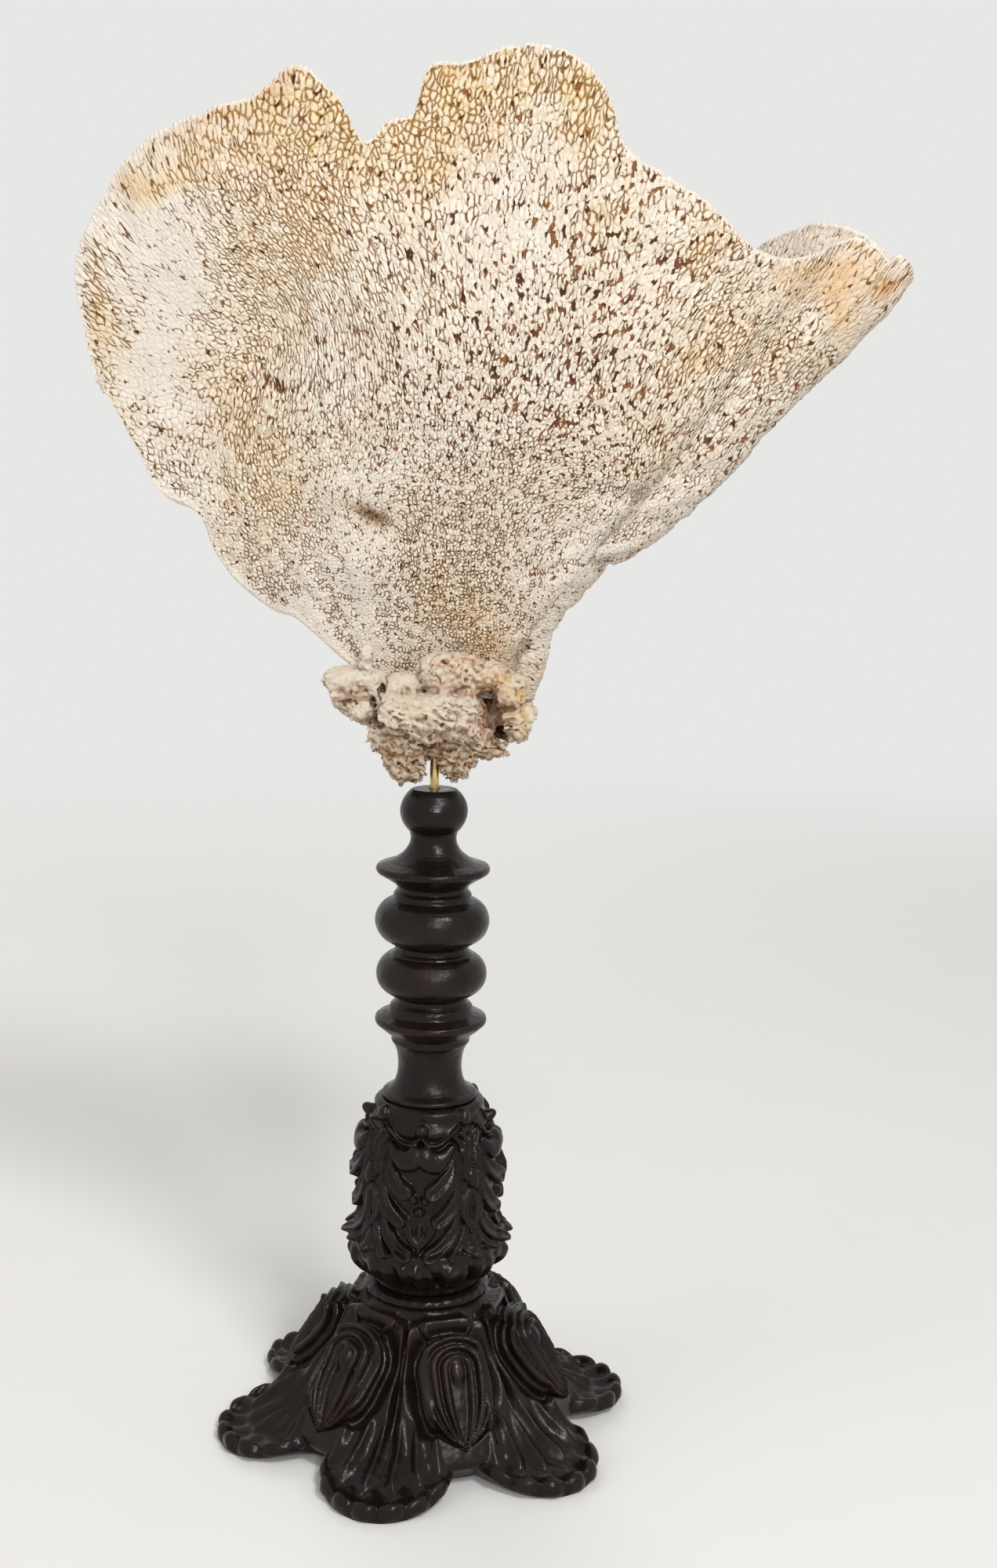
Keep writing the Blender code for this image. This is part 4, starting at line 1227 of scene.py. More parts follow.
def surface_shape(points, quads, rounds):
    """Unit normals, and how far each point stands out from where it lies once the detail is smoothed away.

    A normal is the sum of those of the faces round a point, by their area. Smoothing puts each point at the mean
    of its neighbours, a number of times over.
    """
    starts = np.concatenate([quads[:, k] for k in range(4)] * 2)
    ends = np.concatenate([quads[:, (k + 1) % 4] for k in range(4)] + [quads[:, k - 1] for k in range(4)])
    count = np.bincount(starts, minlength=len(points))[:, None]
    normal = np.zeros_like(points)
    faces = np.cross(points[quads[:, 2]] - points[quads[:, 0]], points[quads[:, 3]] - points[quads[:, 1]])
    for part in range(3):
        for corner in range(4):
            normal[:, part] += np.bincount(quads[:, corner], faces[:, part], len(points))
    normal = unit(normal)
    even = points
    for _ in range(rounds):
        even = np.stack([np.bincount(starts, even[ends, part], len(points)) for part in range(3)], axis=1) / count
    return normal, ((points - even) * normal).sum(axis=1)


def build_rubble(settings):
    """The clump of rubble, as the zero surface of its distance field."""
    low, high = (np.array(corner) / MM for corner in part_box("root_rock"))
    step = settings.rubble_step / MM
    axes = [np.arange(low[k] - LATTICE_MARGIN, high[k] + LATTICE_MARGIN, step) for k in range(3)]
    lattice = np.stack(np.meshgrid(*axes, indexing="ij"), axis=-1)
    field = rubble_field(lattice, step)
    points, quads = largest_island(*surface_net(field, low - LATTICE_MARGIN, step))
    normal, proud = surface_shape(points, quads, SMOOTHING_ROUNDS)
    if signed_volume(points, quads, np.zeros((0, 3), dtype=int)) < 0.0:
        normal, proud = -normal, -proud
    sunk = lumps_field(points)
    wander = (3.0 * noise(points, 5.0, 1), 3.0 * noise(points, 5.0, 2))
    low_down = step_between(252.0, 244.0, points[:, 2] + wander[1])
    marks = {
        # Painted shade where the surface lies sunk under the lumps' outline.
        "hollow": 0.85 * step_between(-1.0, -3.0, sunk) + 0.3 * step_between(-2.5, -8.0, sunk),
        # Painted shade in the cracks, where the surface lies below its smoothed shape.
        "crack_shade": step_between(-0.04, -0.34, proud),
        # Painted highlights on the crests, where the surface stands out of its smoothed shape.
        "crest_highlight": step_between(0.04, 0.34, proud),
        # Painted shade on faces that turn downwards and towards the bottom of the clump.
        "under": step_between(0.05, -0.55, normal[:, 2]) * 0.6 + 0.75 * low_down,
        "stain": patches(points, RUBBLE_STAINS, wander),
        "rust": patches(points, RUBBLE_RUST, (0.6 * wander[0], 0.6 * wander[1])),
        "cream": patches(points, RUBBLE_CREAM, wander) * step_between(-0.1, 0.4, normal[:, 2]),
    }
    piece = make_piece("coral_rubble", points, quads, [], rubble_material(settings), marks=marks)
    install(piece, "root_rock")


# ------------ the rod and the turned column

ROD_SIDES = 64
ROD_CHAMFER = 0.3
ROD_POLE_RADIUS = 0.02
SPINDLE_SIDES = 160


def arc(centre, radii, start, stop, count=24):
    """Points of an elliptic arc in the (radius, height) plane, from start to stop degrees."""
    angles = np.radians(np.linspace(start, stop, count))
    return [(centre[0] + radii[0] * math.cos(a), centre[1] + radii[1] * math.sin(a)) for a in angles]


def build_rod(settings):
    """The rod: its outline, chamfered at both ends, turned round the axis."""
    flat = ROD_RADIUS - ROD_CHAMFER
    outline = even_path([
        (ROD_POLE_RADIUS, ROD_TOP), (flat, ROD_TOP), (ROD_RADIUS, ROD_TOP - ROD_CHAMFER),
        (ROD_RADIUS, ROD_BOTTOM + ROD_CHAMFER), (flat, ROD_BOTTOM), (ROD_POLE_RADIUS, ROD_BOTTOM),
    ], spacing=0.5, rounding=0.1)
    rings = turned_rings(outline, azimuths_round(ROD_SIDES))
    install(round_piece("brass_rod", rings, brass_material(settings)), "mounting_rod")


def spindle_outline():
    """The column's outline from its drilled top down its outer side to the tenon, as (radius, height)."""
    drilled, floor = ROD_RADIUS + GAP, ROD_BOTTOM - GAP
    top, bottom = SPINDLE_TOP, KNOP_TOP + GAP
    return np.vstack([
        [(POLE_RADIUS, floor), (drilled, floor), (drilled, top)],
        arc((0, top - 7.7), (11.7, 10.2), 49, -44),
        smooth_curve([(7.9, 215.2), (8.4, 212.6), (10.6, 209.4), (14.6, 206.7), (19.2, 205.2)], 8),
        arc((19.0, 203.9), (0.9, 1.25), 70, -70, 10),
        smooth_curve([(18.6, 202.3), (15.2, 200.2), (12.8, 198.4), (12.3, 196.6)], 8),
        [(13.6, 195.2), (13.6, 193.6)],
        arc((12.5, 185.6), (7.5, 7.8), 78, -78),
        [(12.9, 176.8), (12.9, 175.2), (14.0, 174.2), (14.0, 173.6)],
        arc((12.5, 166.6), (6.9, 7.3), 76, -76),
        [(12.8, 158.6), (12.8, 156.8), (14.6, 154.9), (14.8, 152.9)],
        smooth_curve([(15.0, 152.6), (16.6, 152.1), (18.6, 151.4)], 6),
        arc((18.7, 150.0), (0.95, 1.4), 75, -75, 10),
        smooth_curve([(18.6, 148.3), (16.2, 146.2), (14.2, 144.8)], 6),
        [(13.8, 144.2), (13.8, 142.2)],
        smooth_curve([(12.9, 141.2), (11.7, 138.0), (11.2, 132.5), (12.2, 127.6), (14.2, 125), (16.4, 123.9)], 8),
        [(16.8, 123.4), (16.8, bottom), (TENON_RADIUS, bottom)],
        [(TENON_RADIUS, SPINDLE_TENON_END), (POLE_RADIUS, SPINDLE_TENON_END)],
    ])


def build_spindle(settings):
    """The turned column: its outline turned round the axis, with faint tool rings and small dents."""
    outline = even_path(spindle_outline(), spacing=0.42, rounding=0.28)
    radius, height = outline[:, :1], outline[:, 1:]
    rings = turned_rings(outline, azimuths_round(SPINDLE_SIDES))
    uneven = 0.09 * noise(rings, 9.0, 1) + 0.05 * noise(rings, 2.6, 2)
    tooling = 0.03 * np.sin(height * math.tau / 1.1)
    dents = (uneven + tooling) * step_between(8.5, 10.0, radius)
    proud = np.repeat(0.5 * step_between(13.0, 19.0, radius), SPINDLE_SIDES, axis=1)
    rings = rings + ring_normals(rings) * dents[..., None]
    piece = round_piece("turned_spindle", rings, wood_material(settings), {"proud": proud})
    install(piece, "spindle")


# ------------ the carved knop

KNOP_SIDES = 360
PANEL_COUNT = 4
PANEL_AZIMUTH = math.radians(-5.0)
RUFFLE_COUNT = 12
STROKE_PIECES = 12

# One half of a leaf panel, mirrored to the other. Each lobe is a bent stroke: three places that it runs through, as
# (distance from the panel's middle, height), its half-widths there, its rise at the start and at the end, all in mm,
# and how much of the rise is scooped out along its back.
PANEL_STROKES = (
    (((0, 115.2), (0.2, 115), (0, 114.8)), (1.9, 2.1, 1.9), (3.4, 3.4), 0),
    (((0.6, 112.8), (6.5, 111.6), (12.8, 116.4)), (0.7, 0.9, 0.6), (2.4, 2.4), 0),
    (((1.6, 107.8), (6, 106), (11.2, 110.2)), (3.9, 4.1, 1.6), (4.2, 2.6), 0.1),
    (((12.8, 105), (10, 99.6), (4.9, 95.2)), (0.9, 3, 3.1), (1.2, 6.8), 0.6),
    (((14.8, 97), (13.2, 90.4), (6.8, 84.2)), (0.8, 2.9, 2.6), (1.2, 6.6), 0.6),
    (((14.6, 86), (11.6, 78.4), (4, 72.6)), (0.8, 2.9, 2.3), (1.2, 6.4), 0.6),
    (((17.8, 86), (17.2, 78), (12, 72)), (0.7, 1.9, 1.5), (1.2, 4.8), 0.5),
    (((12, 113), (16.4, 107.5), (16.2, 98.5)), (0.9, 1, 0.4), (2.8, 1.6), 0),
    (((13.2, 114.2), (18.6, 109.5), (18.4, 100)), (0.9, 1.1, 0.4), (2.6, 1.4), 0),
    (((14.4, 115.4), (20.6, 111.5), (20.6, 103)), (0.8, 1, 0.4), (2.4, 1.2), 0),
    (((1.9, 92.2), (2.1, 92), (2.3, 91.8)), (1.5, 1.6, 1.5), (2.8, 2.8), 0),
    (((0.2, 88), (0.4, 87.6), (0.6, 87.2)), (1.4, 1.6, 1.4), (2.6, 2.6), 0),
    (((3.4, 84.6), (4.4, 80.8), (1.2, 76)), (0.6, 1.7, 1), (1.2, 4), 0.5),
    (((0, 82), (0.2, 78.6), (0, 74)), (0.7, 1.3, 0.9), (1.4, 2.8), 0.3),
)
# Ornaments on the corners between two panels, in the same terms.
CORNER_STROKES = (
    (((0, 119), (0.1, 118.6), (0, 118.2)), (2.4, 2.5, 2.4), (2.6, 2.6), 0),
    (((0, 114.5), (3, 110), (1.4, 104.5)), (1, 1.9, 1.2), (1.6, 4.4), 0.5),
    (((0, 101.5), (0.2, 99.5), (0, 97)), (2, 2.6, 2), (2.2, 3.4), 0.1),
    (((1.4, 104.5), (3.4, 102), (2.8, 98.6)), (0.9, 1.2, 0.9), (1.6, 2.2), 0),
    (((0, 94), (3.2, 88), (0.8, 81)), (1, 2, 1.2), (1.6, 4.4), 0.5),
    (((0, 76.5), (0.2, 74.5), (0, 72)), (2.3, 3, 2.2), (2.2, 3.4), 0.1),
    (((1.6, 79), (3.8, 77), (3, 73)), (0.9, 1.3, 1), (1.6, 2.2), 0),
)


def stroke_relief(across, height, strokes):
    """Relief of carved lobes: strokes along bent paths, with a round or a scooped back.

    A path is the quadratic curve through its three places. The distance to it is taken over short straight
    pieces. The lobe's height is a half-ellipse over that distance, less a narrower bell for the scoop, times a
    rise that grows evenly from the path's start to its end. Where lobes meet, the higher one shows.
    """
    relief = np.zeros_like(across)
    share = np.linspace(0.0, 1.0, STROKE_PIECES + 1)[:, None]
    for path, widths, rises, scoop in strokes:
        start, through, end = (np.array(place, dtype=float) for place in path)
        bend = 2.0 * through - 0.5 * (start + end)
        curve = (1 - share) ** 2 * start + (2 * share * (1 - share)) * bend + share**2 * end
        half = np.interp(share[:, 0], (0.0, 0.5, 1.0), widths)
        nearest, along = np.full(across.shape, 9.0), np.zeros(across.shape)
        for k in range(STROKE_PIECES):
            chord = curve[k + 1] - curve[k]
            length = max(float(chord @ chord), 1e-9)
            from_x, from_z = across - curve[k, 0], height - curve[k, 1]
            reach = np.clip((from_x * chord[0] + from_z * chord[1]) / length, 0.0, 1.0)
            away = np.hypot(from_x - reach * chord[0], from_z - reach * chord[1])
            away = away / (half[k] + (half[k + 1] - half[k]) * reach)
            along = np.where(away < nearest, (k + reach) / STROKE_PIECES, along)
            nearest = np.minimum(nearest, away)
        inside = np.clip(1.0 - nearest**2, 0.0, 1.0)
        rise = rises[0] + (rises[1] - rises[0]) * along
        relief = np.maximum(relief, rise * (np.sqrt(inside) - scoop * inside**2))
    return relief


def knop_outline():
    """The knop's outline from its socket up over its shoulder and down to its tenon, as (radius, height)."""
    socket = TENON_RADIUS + GAP
    floor = SPINDLE_TENON_END - GAP
    inside = [(POLE_RADIUS, floor), (socket, floor), (socket, KNOP_TOP), (16.6, KNOP_TOP)]
    body = smooth_curve([
        (17.6, 121.9), (19.3, 120.5), (19.6, 117.5), (22.2, 113), (25.0, 107), (26.4, 100), (26.4, 92),
        (25.8, 84), (26.0, 77), (27.4, 71), (27.4, 66), (25.0, 62.5), (22.4, 60.4), (20.4, 58.6), (19.4, 56.4),
    ], 10)
    foot = BASE_TOP + GAP
    under = [(19.0, foot), (TENON_RADIUS, foot), (TENON_RADIUS, KNOP_TENON_END), (POLE_RADIUS, KNOP_TENON_END)]
    return np.vstack([inside, body, under])


def build_knop(settings):
    """The carved urn: its outline turned round the axis, with leaf panels, corner ornaments and ruffles on it.

    Two thirds of the rings are left out where the socket and the tenon hide them.
    """
    outline = even_path(knop_outline(), spacing=0.38, rounding=0.22)
    outline = outline[(outline[:, 0] > 16.0) | (np.arange(len(outline)) % 3 == 0)]
    radius, height = outline[:, :1], outline[:, 1:]
    azimuths = azimuths_round(KNOP_SIDES)
    rings = turned_rings(outline, azimuths)
    pitch = math.tau / PANEL_COUNT
    turned_by = azimuths - PANEL_AZIMUTH
    off_panel = (turned_by + pitch / 2) % pitch - pitch / 2
    off_corner = turned_by % pitch - pitch / 2
    skew = 0.35 * noise(rings, 7.0, 1)
    tall = height + 0.0 * azimuths + skew
    on_panel = stroke_relief(np.abs(off_panel * radius + skew), tall, PANEL_STROKES)
    on_corner = stroke_relief(np.abs(off_corner * radius), tall, CORNER_STROKES)
    carved = np.maximum(on_panel, on_corner)
    ruffle_turn = RUFFLE_COUNT * turned_by
    sway = 0.9 * np.sin(ruffle_turn / 2.0 + height * 0.2)
    shell = np.abs(np.cos(ruffle_turn / 2.0 + 0.12 * (height - 62.0)))
    flutes = 0.35 * np.cos(5.0 * ruffle_turn / 2.0 + sway)
    hem = step_between(57.2, 59.4, height) * step_between(70.6, 67.0, height)
    ruffles = hem * (2.6 * shell**0.7 + 1.6 * flutes - 1.3) * (1.0 + 0.25 * noise(rings, 5.0, 2))
    ground = -2.2 * step_between(71.0, 74.0, height) * step_between(115.0, 112.0, height)
    outside = step_between(15.0, 18.5, radius)
    tooled = 0.10 * noise(rings, 1.6, 3) + 0.12 * noise(rings, 4.5, 2)
    relief = outside * (np.maximum(carved + ground, ground) + ruffles + tooled)
    rings = rings + ring_normals(rings) * relief[..., None]
    piece = round_piece("carved_knop_leaves", rings, wood_material(settings), {"proud": relief / 2.4})
    install(piece, "carved_knop")


# ------------ the carved base

BASE_SIDES = 600
BASE_STEPS = 118
FOOT_COUNT = 6
FOOT_AZIMUTH = math.radians(-12.0)
FOOT_HALF_ANGLE_TOP = 13.0
FOOT_HALF_ANGLE_TOE = 25.0
UNDERSIDE_RADIUS = 46.0
BEAD_COUNT = 28
BEAD_HEIGHT = 51.8
OUTLINE_STEPS = 30
# Outlines down the middle of a foot and of a cartouche, as (radius, height). They have as many places each.
FOOT_OUTLINE = (
    (22, 47.5), (26, 43.5), (30.5, 38), (34.5, 31.5), (38.5, 25), (44, 18), (52, 11.5),
    (60, 7.5), (66, 4), (70, 4), (73.5, 5.4), (75, 3.4), (74.6, 0),
)
CARTOUCHE_OUTLINE = (
    (23.5, 48.5), (29, 46.5), (34, 43), (38.5, 38), (42.5, 32), (46, 26), (49, 20),
    (51.5, 15), (53.5, 11), (54, 9.5), (54, 8.5), (53.4, 7), (52, 6),
)
# A cartouche's drop: its half-width, its reach above and below the eye, and the eye's distance down the surface.
DROP_HALF_WIDTH = 13.4
DROP_ABOVE = 12.0
DROP_BELOW = 27.0
DROP_EYE = 20.0


def drop_ring(across, down):
    """Which of a set of nested drops a place lies on: 0 at the eye, 1 on the outermost drop.

    Above the eye the drops are half-ellipses. Below it they run together towards one tip: the scaled distance across
    is divided by a width that falls with the distance down.
    """
    wide = np.abs(across) / DROP_HALF_WIDTH
    above = np.hypot(wide, down / DROP_ABOVE)
    narrowing = np.clip(1.0 - (np.maximum(down, 0.0) / DROP_BELOW) ** 3.2, 0.09, 1.0)
    return np.where(down < 0.0, above, wide / narrowing + 3.0 * step_between(0.93, 1.12, down / DROP_BELOW))


def beaded_collar(azimuths):
    """Rings of the socket and the collar above the carving: a turned outline, with beads round its edge."""
    socket, floor = TENON_RADIUS + GAP, KNOP_TENON_END - GAP
    outline = even_path([
        (POLE_RADIUS, floor), (socket, floor), (socket, BASE_TOP), (19.6, BASE_TOP), (21.3, 53.4), (22.0, 52.2),
        (21.9, 50.6), (20.9, 49.6),
    ], spacing=1.2, rounding=0.3)
    radius, height = outline[:, :1], outline[:, 1:]
    rings = turned_rings(outline, azimuths)
    beads = 0.55 * np.abs(np.cos(BEAD_COUNT / 2 * azimuths)) * bell((height - BEAD_HEIGHT) / 1.2)
    beads = beads * step_between(19.0, 21.0, radius)
    return rings + rings * (1, 1, 0) / np.maximum(radius[..., None], 1.0) * beads[..., None]


def base_underside(last_ring, azimuths):
    """Rings that run straight from the carving's last ring in to a flat round underside at height 0."""
    inwards = np.linspace(0.25, 1.0, 4)[:, None]
    radii, heights = np.hypot(last_ring[:, 0], last_ring[:, 1]), last_ring[:, 2]
    slope = ring_points(radii + (UNDERSIDE_RADIUS - radii) * inwards, heights * (1.0 - inwards), azimuths)
    flat_radii = np.linspace(UNDERSIDE_RADIUS, 2.0, 8)[1:, None]
    return np.concatenate([slope, ring_points(flat_radii, 0.0 * flat_radii, azimuths)])


def build_base(settings):
    """The carved base: a foot's outline and a cartouche's, blended by the angle between them, and carved.

    The carving is added along the surface's normal. A cartouche has nested drops. A foot has two ridges on its
    stalk, which open into five hollow flutes above a scalloped, upturned toe.
    """
    azimuths = azimuths_round(BASE_SIDES)
    foot, drop = (smooth_curve(outline, OUTLINE_STEPS) for outline in (FOOT_OUTLINE, CARTOUCHE_OUTLINE))
    share = np.linspace(0.0, 1.0, len(foot))
    along_foot = path_lengths(foot) / path_lengths(foot)[-1]
    wanted = np.interp(np.linspace(0.0, 1.0, BASE_STEPS), along_foot, share)
    foot, drop = (
        np.stack([np.interp(wanted, share, part) for part in outline.T], axis=1) for outline in (foot, drop)
    )
    down_share, drop_length = wanted[:, None], path_lengths(drop)[:, None]
    below_eye = drop_length - DROP_EYE

    pitch = 360.0 / FOOT_COUNT
    from_foot = (np.degrees(azimuths - FOOT_AZIMUTH) + pitch / 2) % pitch - pitch / 2
    from_drop = np.degrees(azimuths - FOOT_AZIMUTH) % pitch - pitch / 2
    half_angle = FOOT_HALF_ANGLE_TOP + (FOOT_HALF_ANGLE_TOE - FOOT_HALF_ANGLE_TOP) * down_share
    place = from_foot / half_angle
    weight = np.clip(1.0 - place**2, 0.0, 1.0) ** 0.8
    radii, heights = (
        drop[:, part, None] + (foot[:, part, None] - drop[:, part, None]) * weight for part in (0, 1)
    )
    skin = ring_points(radii, heights, azimuths)

    across_drop = np.radians(from_drop) * drop[:, :1]
    uneven = 0.05 * noise(skin, 10.0, 1)
    ring = drop_ring(across_drop, below_eye) + 0.5 * uneven
    inside = step_between(1.04, 0.97, ring)
    ridges = (0.5 + 0.5 * np.cos(math.tau * (ring - 0.86) / 0.27)) ** 0.7 * step_between(0.17, 0.24, ring)
    eye = np.exp(-(np.hypot(across_drop / 2.5, (below_eye - 0.5) / 4.4) ** 4))
    cartouche = inside * (2.6 * ridges - 1.3 + 0.9 * (1.0 - ring**2) + 2.2 * eye)
    moat = -3.2 * bell((ring - 1.19) / 0.13)
    frame_roll = 1.4 * bell((ring - 1.50) / 0.15) * step_between(16.0, -4.0, below_eye)
    on_drop = (cartouche + moat + frame_roll) * step_between(0.4, 3.0, drop_length)

    on_leaf = step_between(0.02, 0.25, weight)
    stalk = 2.6 * np.abs(np.sin(math.pi * 1.45 * place)) ** 0.8 - 0.9 - 1.2 * bell(place / 0.12)
    spread = place + 0.045 * noise(skin, 12.0, 2)
    flutes = 1.5 - 2.9 * np.abs(np.cos(math.pi * 2.5 * spread)) ** 0.75
    opened = step_between(0.30, 0.52, down_share)
    leaf = (1.0 - opened) * stalk + opened * flutes
    toe_start, toe = step_between(0.60, 0.68, down_share), step_between(0.74, 0.82, down_share)
    scallops = 1.4 * np.abs(np.cos(math.pi * 3.0 * spread)) - 0.9
    lip = 2.2 * np.abs(np.cos(math.pi * 3.5 * spread + 0.5)) ** 0.6 - 1.2 + 0.5 * noise(skin, 4.0, 1)
    leaf = leaf * (1.0 - toe_start) + (toe_start - toe) * scallops + toe * lip
    leaf *= step_between(1.0, 0.965, down_share) * step_between(0.01, 0.10, down_share)
    outside_drop = step_between(1.10, 1.36, ring)
    relief = on_drop * step_between(2.1, 1.7, ring) + leaf * on_leaf * outside_drop
    relief += 0.10 * noise(skin, 2.0, 3) + 0.14 * noise(skin, 6.0, 2)
    relief *= step_between(1.0, 0.97, down_share)
    carved = skin + ring_normals(skin) * relief[..., None]
    carved[..., 2] = np.maximum(carved[..., 2], 0.0)

    collar = beaded_collar(azimuths)
    rings = np.concatenate([collar, carved, base_underside(carved[-1], azimuths)])
    proud = np.zeros(rings.shape[:2])
    proud[len(collar):len(collar) + BASE_STEPS] = 0.3 + relief / 2.6
    piece = round_piece("carved_leaf_base", rings, wood_material(settings), {"proud": proud})
    install(piece, "carved_base")


# ------------ settings, operators and panel

def colour_property(name, place, default):
    """The colour of a place, which a user can change."""
    return FloatVectorProperty(
        name=name, description=f"Colour of {place}", default=default, subtype="COLOR", size=3, min=0.0, max=1.0
    )


class SpongeSettings(bpy.types.PropertyGroup):
    """Sizes and colours of the sponge."""

    columns: IntProperty(name="Columns", description="Columns of faces along the rim", default=412, min=80)
    rows: IntProperty(name="Rows", description="Rows of faces from foot to rim", default=186, min=40)
    cell_width: FloatProperty(
        name="Cell Width", description="Width of a cell at the rim", default=0.00172, unit="LENGTH"
    )
    cell_relief: FloatProperty(
        name="Cell Relief", description="Height of the cells over their crevices", default=0.00055, unit="LENGTH"
    )
    pale_colour: colour_property("Pale", "most of the cells", (0.85, 0.775, 0.67))
    cream_colour: colour_property("Cream", "the other cells", (0.81, 0.705, 0.57))
    # Also the painted shade towards the cells' crevices.
    shadow_colour: colour_property("Shaded Cell", "the duller cells", (0.62, 0.50, 0.37))
    chalk_colour: colour_property("Chalk", "the chalky places", (0.75, 0.69, 0.615))
    ochre_colour: colour_property("Ochre", "the ochre stains", (0.76, 0.57, 0.28))
    gold_colour: colour_property("Gold", "the cells' borders in ochre places", (0.62, 0.39, 0.15))
    orange_colour: colour_property("Orange", "the orange stains", (0.68, 0.36, 0.14))
    pink_colour: colour_property("Border", "the smooth border and the flap", (0.74, 0.63, 0.55))
    rim_colour: colour_property("Rim", "the thin rim", (0.86, 0.79, 0.71))
    crevice_colour: colour_property("Crevice", "shallow crevices", (0.42, 0.24, 0.11))
    warm_crevice_colour: colour_property("Ochre Crevice", "crevices in ochre places", (0.46, 0.25, 0.07))
    deep_colour: colour_property("Deep Crevice", "deep crevices", (0.15, 0.064, 0.027))
    pore_colour: colour_property("Pore", "the pores", (0.085, 0.034, 0.018))
    rust_colour: colour_property("Rusty Pore", "the rusty pores", (0.29, 0.115, 0.042))


class RubbleSettings(bpy.types.PropertyGroup):
    """Sizes and colours of the clump of rubble."""

    rubble_step: FloatProperty(
        name="Detail", description="Distance between the points of its surface", default=0.00052, unit="LENGTH"
    )
    grain_relief: FloatProperty(
        name="Grain Relief", description="Height of the fine grain", default=0.0011, unit="LENGTH"
    )
    cream_colour: colour_property("Cream", "most of the clump", (0.81, 0.69, 0.51))
    pink_colour: colour_property("Pink", "the greyish pink places", (0.73, 0.60, 0.49))
    # Pale also serves for the painted highlights on the crests.
    pale_colour: colour_property("Pale", "the smooth pale tops", (0.84, 0.76, 0.64))
    grain_colour: colour_property("Grain", "the dirt among the grains", (0.42, 0.28, 0.19))
    stain_colour: colour_property("Stain", "the yellow stains", (0.74, 0.50, 0.22))
    rust_colour: colour_property("Rust", "the rusty stains", (0.48, 0.17, 0.06))
    # Painted shade on the undersides and towards the bottom.
    underside_shade_colour: colour_property("Underside", "the sheltered underside", (0.33, 0.165, 0.06))
    # Painted shade in the cracks.
    crack_shade_colour: colour_property("Crack", "the cracks and small hollows", (0.17, 0.085, 0.042))
    # Painted shade in the hollows and pinholes.
    hollow_shade_colour: colour_property("Hollow", "the large hollows", (0.38, 0.18, 0.07))


class StandSettings(bpy.types.PropertyGroup):
    """Colours and polish of the stand."""

    stain_colour: colour_property("Stain", "most of the wood", (0.0062, 0.0038, 0.0033))
    figure_colour: colour_property("Figure", "the wood's figure", (0.010, 0.006, 0.005))
    worn_colour: colour_property("Worn", "the wood where it is rubbed", (0.022, 0.012, 0.008))
    polish: FloatProperty(
        name="Polish", description="Roughness of the shiniest places", default=0.17, min=0.0, max=1.0
    )
    brass_colour: colour_property("Brass", "the rod", (0.78, 0.60, 0.27))
    dull_colour: colour_property("Dull Brass", "the rod where it is dulled", (0.60, 0.45, 0.21))


class StageSettings(bpy.types.PropertyGroup):
    """The floor, the lights and the lens of the studio."""

    floor_colour: colour_property("Floor", "the floor", (0.80, 0.79, 0.77))
    background_colour: colour_property("Background", "the background, as the camera sees it", (0.80, 0.80, 0.79))
    floor_radius: FloatProperty(name="Floor Radius", description="Radius of the floor", default=1.7, unit="LENGTH")
    ambient: FloatProperty(name="Ambient", description="Strength of the light all round", default=0.44, min=0.0)
    key_power: FloatProperty(name="Key", description="Power of the main softbox", default=15.0, unit="POWER")
    window_power: FloatProperty(name="Window", description="Power of the small softbox", default=9.5, unit="POWER")
    fill_power: FloatProperty(name="Fill", description="Power of the side softbox", default=5.0, unit="POWER")
    rear_power: FloatProperty(name="Rear", description="Power of the softbox behind", default=7.0, unit="POWER")
    lens: FloatProperty(name="Lens", description="Focal length in mm", default=43.2, min=10.0)


class OBJECT_OT_build_sponge(bpy.types.Operator):
    """Build the fan of the sponge"""

    bl_idname = "sea_sponge.build_sponge"
    bl_label = "Sponge"

    def execute(self, context):
        build_sponge(context.scene.sponge_settings)
        return {"FINISHED"}


class OBJECT_OT_build_rubble(bpy.types.Operator):
    """Build the clump of coral rubble"""

    bl_idname = "sea_sponge.build_rubble"
    bl_label = "Rubble"

    def execute(self, context):
        build_rubble(context.scene.rubble_settings)
        return {"FINISHED"}


class OBJECT_OT_build_rod(bpy.types.Operator):
    """Build the brass rod"""

    bl_idname = "sea_sponge.build_rod"
    bl_label = "Rod"

    def execute(self, context):
        build_rod(context.scene.stand_settings)
        return {"FINISHED"}


class OBJECT_OT_build_spindle(bpy.types.Operator):
    """Build the turned column"""

    bl_idname = "sea_sponge.build_spindle"
    bl_label = "Column"

    def execute(self, context):
        build_spindle(context.scene.stand_settings)
        return {"FINISHED"}


class OBJECT_OT_build_carving(bpy.types.Operator):
    """Build the carved knop and the carved base"""

    bl_idname = "sea_sponge.build_carving"
    bl_label = "Carved Knop and Base"

    def execute(self, context):
        build_knop(context.scene.stand_settings)
        build_base(context.scene.stand_settings)
        return {"FINISHED"}


FLOOR_SIDES = 96
LIT_CENTRE = (0.0, 0.0, 0.26)
CAMERA_PLACE = (22.1, -640.0, 342.3)
CAMERA_TILT_DOWN = math.radians(9.6)
CAMERA_ROLL = math.radians(1.25)


def softbox(name, place, size, power, mirrored=False):
    """A square area light that faces the middle of the object. Polished surfaces mirror it only where asked."""
    light = bpy.data.lights.new(name, "AREA")
    light.size = size
    light.energy = power
    lamp = bpy.data.objects.new(name, light)
    lamp.location = place
    lamp.visible_glossy = mirrored
    lamp.rotation_euler = (Vector(LIT_CENTRE) - Vector(place)).to_track_quat("-Z", "Y").to_euler()
    bpy.context.scene.collection.objects.link(lamp)


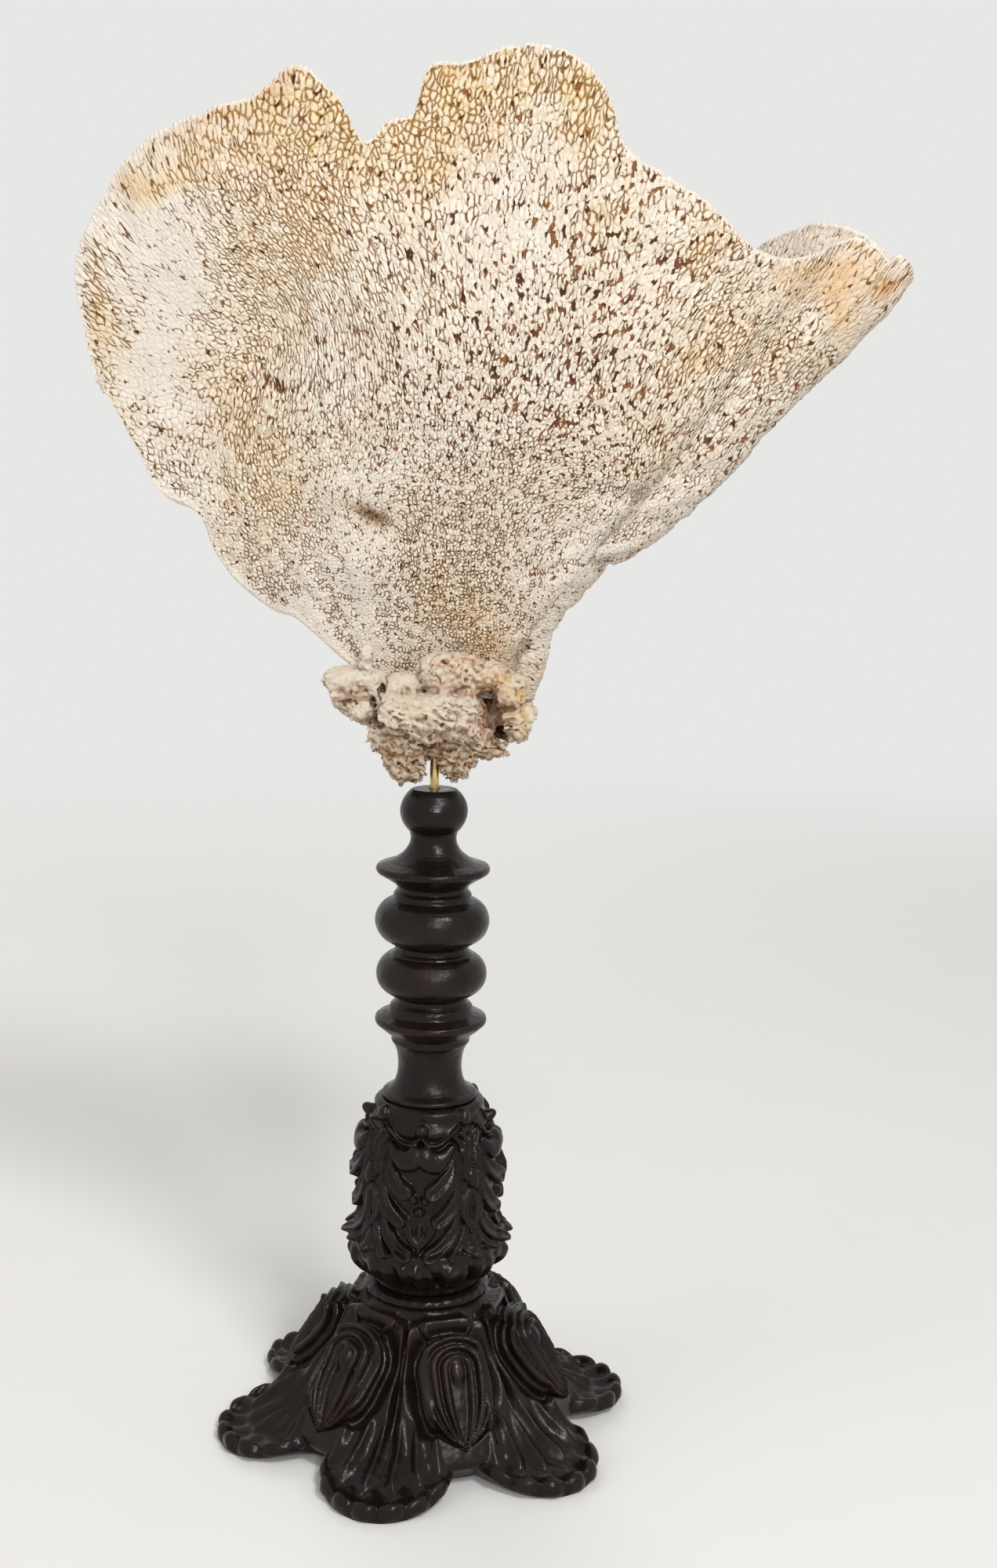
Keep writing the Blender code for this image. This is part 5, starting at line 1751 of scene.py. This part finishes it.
def build_world(settings):
    """Even light from all round, and the plain background that the camera sees."""
    world = bpy.data.worlds.new("studio")
    bpy.context.scene.world = world
    world.use_nodes = True
    tree = world.node_tree
    lit = tree.nodes["Background"]
    fill_inputs(tree, lit, {"Color": (1.0, 0.985, 0.965, 1.0), "Strength": settings.ambient})
    seen = add_node(tree, "ShaderNodeBackground", {"Color": (*settings.background_colour, 1.0), "Strength": 1.0})
    rays = add_node(tree, "ShaderNodeLightPath").outputs
    behind = rays["Is Camera Ray"]
    for kind in ("Is Glossy Ray", "Is Transmission Ray"):
        behind = add_node(tree, "ShaderNodeMath", {0: behind, 1: rays[kind]}, operation="MAXIMUM").outputs[0]
    mixed = add_node(tree, "ShaderNodeMixShader", {0: behind, 1: lit.outputs[0], 2: seen.outputs[0]})
    fill_inputs(tree, tree.nodes["World Output"], {"Surface": mixed.outputs[0]})


def build_floor(settings):
    """A round floor: two rings of points round the centre."""
    radii = settings.floor_radius / MM * np.array([[0.2], [1.0]])
    rings = ring_points(radii, 0.0 * radii, azimuths_round(FLOOR_SIDES))
    points = np.concatenate([rings.reshape(-1, 3), [[0, 0, 0]]])
    near, far = np.arange(FLOOR_SIDES), FLOOR_SIDES + np.arange(FLOOR_SIDES)
    quads = np.stack([near, far, np.roll(far, -1), np.roll(near, -1)], axis=1)
    middle = np.stack([np.full(FLOOR_SIDES, 2 * FLOOR_SIDES), near, np.roll(near, -1)], axis=1)
    make_piece("floor", points, quads, middle, floor_material(settings))


def build_camera(settings):
    """The camera: in front of the sponge and a little to the right, tilted down and slightly turned."""
    data = bpy.data.cameras.new("camera")
    data.lens = settings.lens
    data.clip_start = 0.01
    camera = bpy.data.objects.new("camera", data)
    aimed = Matrix.Rotation(math.pi / 2 - CAMERA_TILT_DOWN, 4, "X") @ Matrix.Rotation(CAMERA_ROLL, 4, "Z")
    camera.matrix_world = Matrix.Translation(Vector(CAMERA_PLACE) * MM) @ aimed
    bpy.context.scene.collection.objects.link(camera)
    bpy.context.scene.camera = camera


class OBJECT_OT_build_stage(bpy.types.Operator):
    """Set up the floor, the lights and the camera"""

    bl_idname = "sea_sponge.build_stage"
    bl_label = "Studio"

    def execute(self, context):
        settings = context.scene.stage_settings
        build_floor(settings)
        build_world(settings)
        softbox("key_softbox", (0.62, -1.05, 1.55), 0.4, settings.key_power, mirrored=True)
        softbox("window_softbox", (0.42, -1.55, 0.95), 0.26, settings.window_power, mirrored=True)
        softbox("fill_softbox", (-1.25, -0.75, 0.65), 0.9, settings.fill_power)
        softbox("rear_softbox", (-0.35, 1.35, 1.05), 0.9, settings.rear_power)
        build_camera(settings)
        context.scene.view_settings.view_transform = "Standard"
        return {"FINISHED"}


# Each group's settings, under their name on the scene, with the operators that build its pieces.
GROUPS = {
    "sponge_settings": (SpongeSettings, (OBJECT_OT_build_sponge,)),
    "rubble_settings": (RubbleSettings, (OBJECT_OT_build_rubble,)),
    "stand_settings": (StandSettings, (OBJECT_OT_build_rod, OBJECT_OT_build_spindle, OBJECT_OT_build_carving)),
    "stage_settings": (StageSettings, (OBJECT_OT_build_stage,)),
}


class VIEW3D_PT_sea_sponge(bpy.types.Panel):
    """Settings of the sea sponge and buttons that build its pieces"""

    bl_label = "Sea Sponge"
    bl_space_type = "VIEW_3D"
    bl_region_type = "UI"
    bl_category = "Sea Sponge"

    def draw(self, context):
        for group, (settings, operators) in GROUPS.items():
            box = self.layout.box()
            for name in settings.__annotations__:
                box.prop(getattr(context.scene, group), name)
            for operator in operators:
                box.operator(operator.bl_idname)


CLASSES = [each for settings, operators in GROUPS.values() for each in (settings, *operators)]
CLASSES.append(VIEW3D_PT_sea_sponge)


def register():
    """Registers the classes and puts the settings on the scene."""
    for each in CLASSES:
        bpy.utils.register_class(each)
    for name, (settings, _) in GROUPS.items():
        setattr(bpy.types.Scene, name, PointerProperty(type=settings))


def unregister():
    """Takes the settings off the scene and unregisters the classes."""
    for name in GROUPS:
        delattr(bpy.types.Scene, name)
    for each in reversed(CLASSES):
        bpy.utils.unregister_class(each)


def main():
    """Builds every piece and the studio."""
    register()
    bpy.ops.sea_sponge.build_sponge()
    bpy.ops.sea_sponge.build_rubble()
    bpy.ops.sea_sponge.build_rod()
    bpy.ops.sea_sponge.build_spindle()
    bpy.ops.sea_sponge.build_carving()
    bpy.ops.sea_sponge.build_stage()


if __name__ == "__main__":
    main()
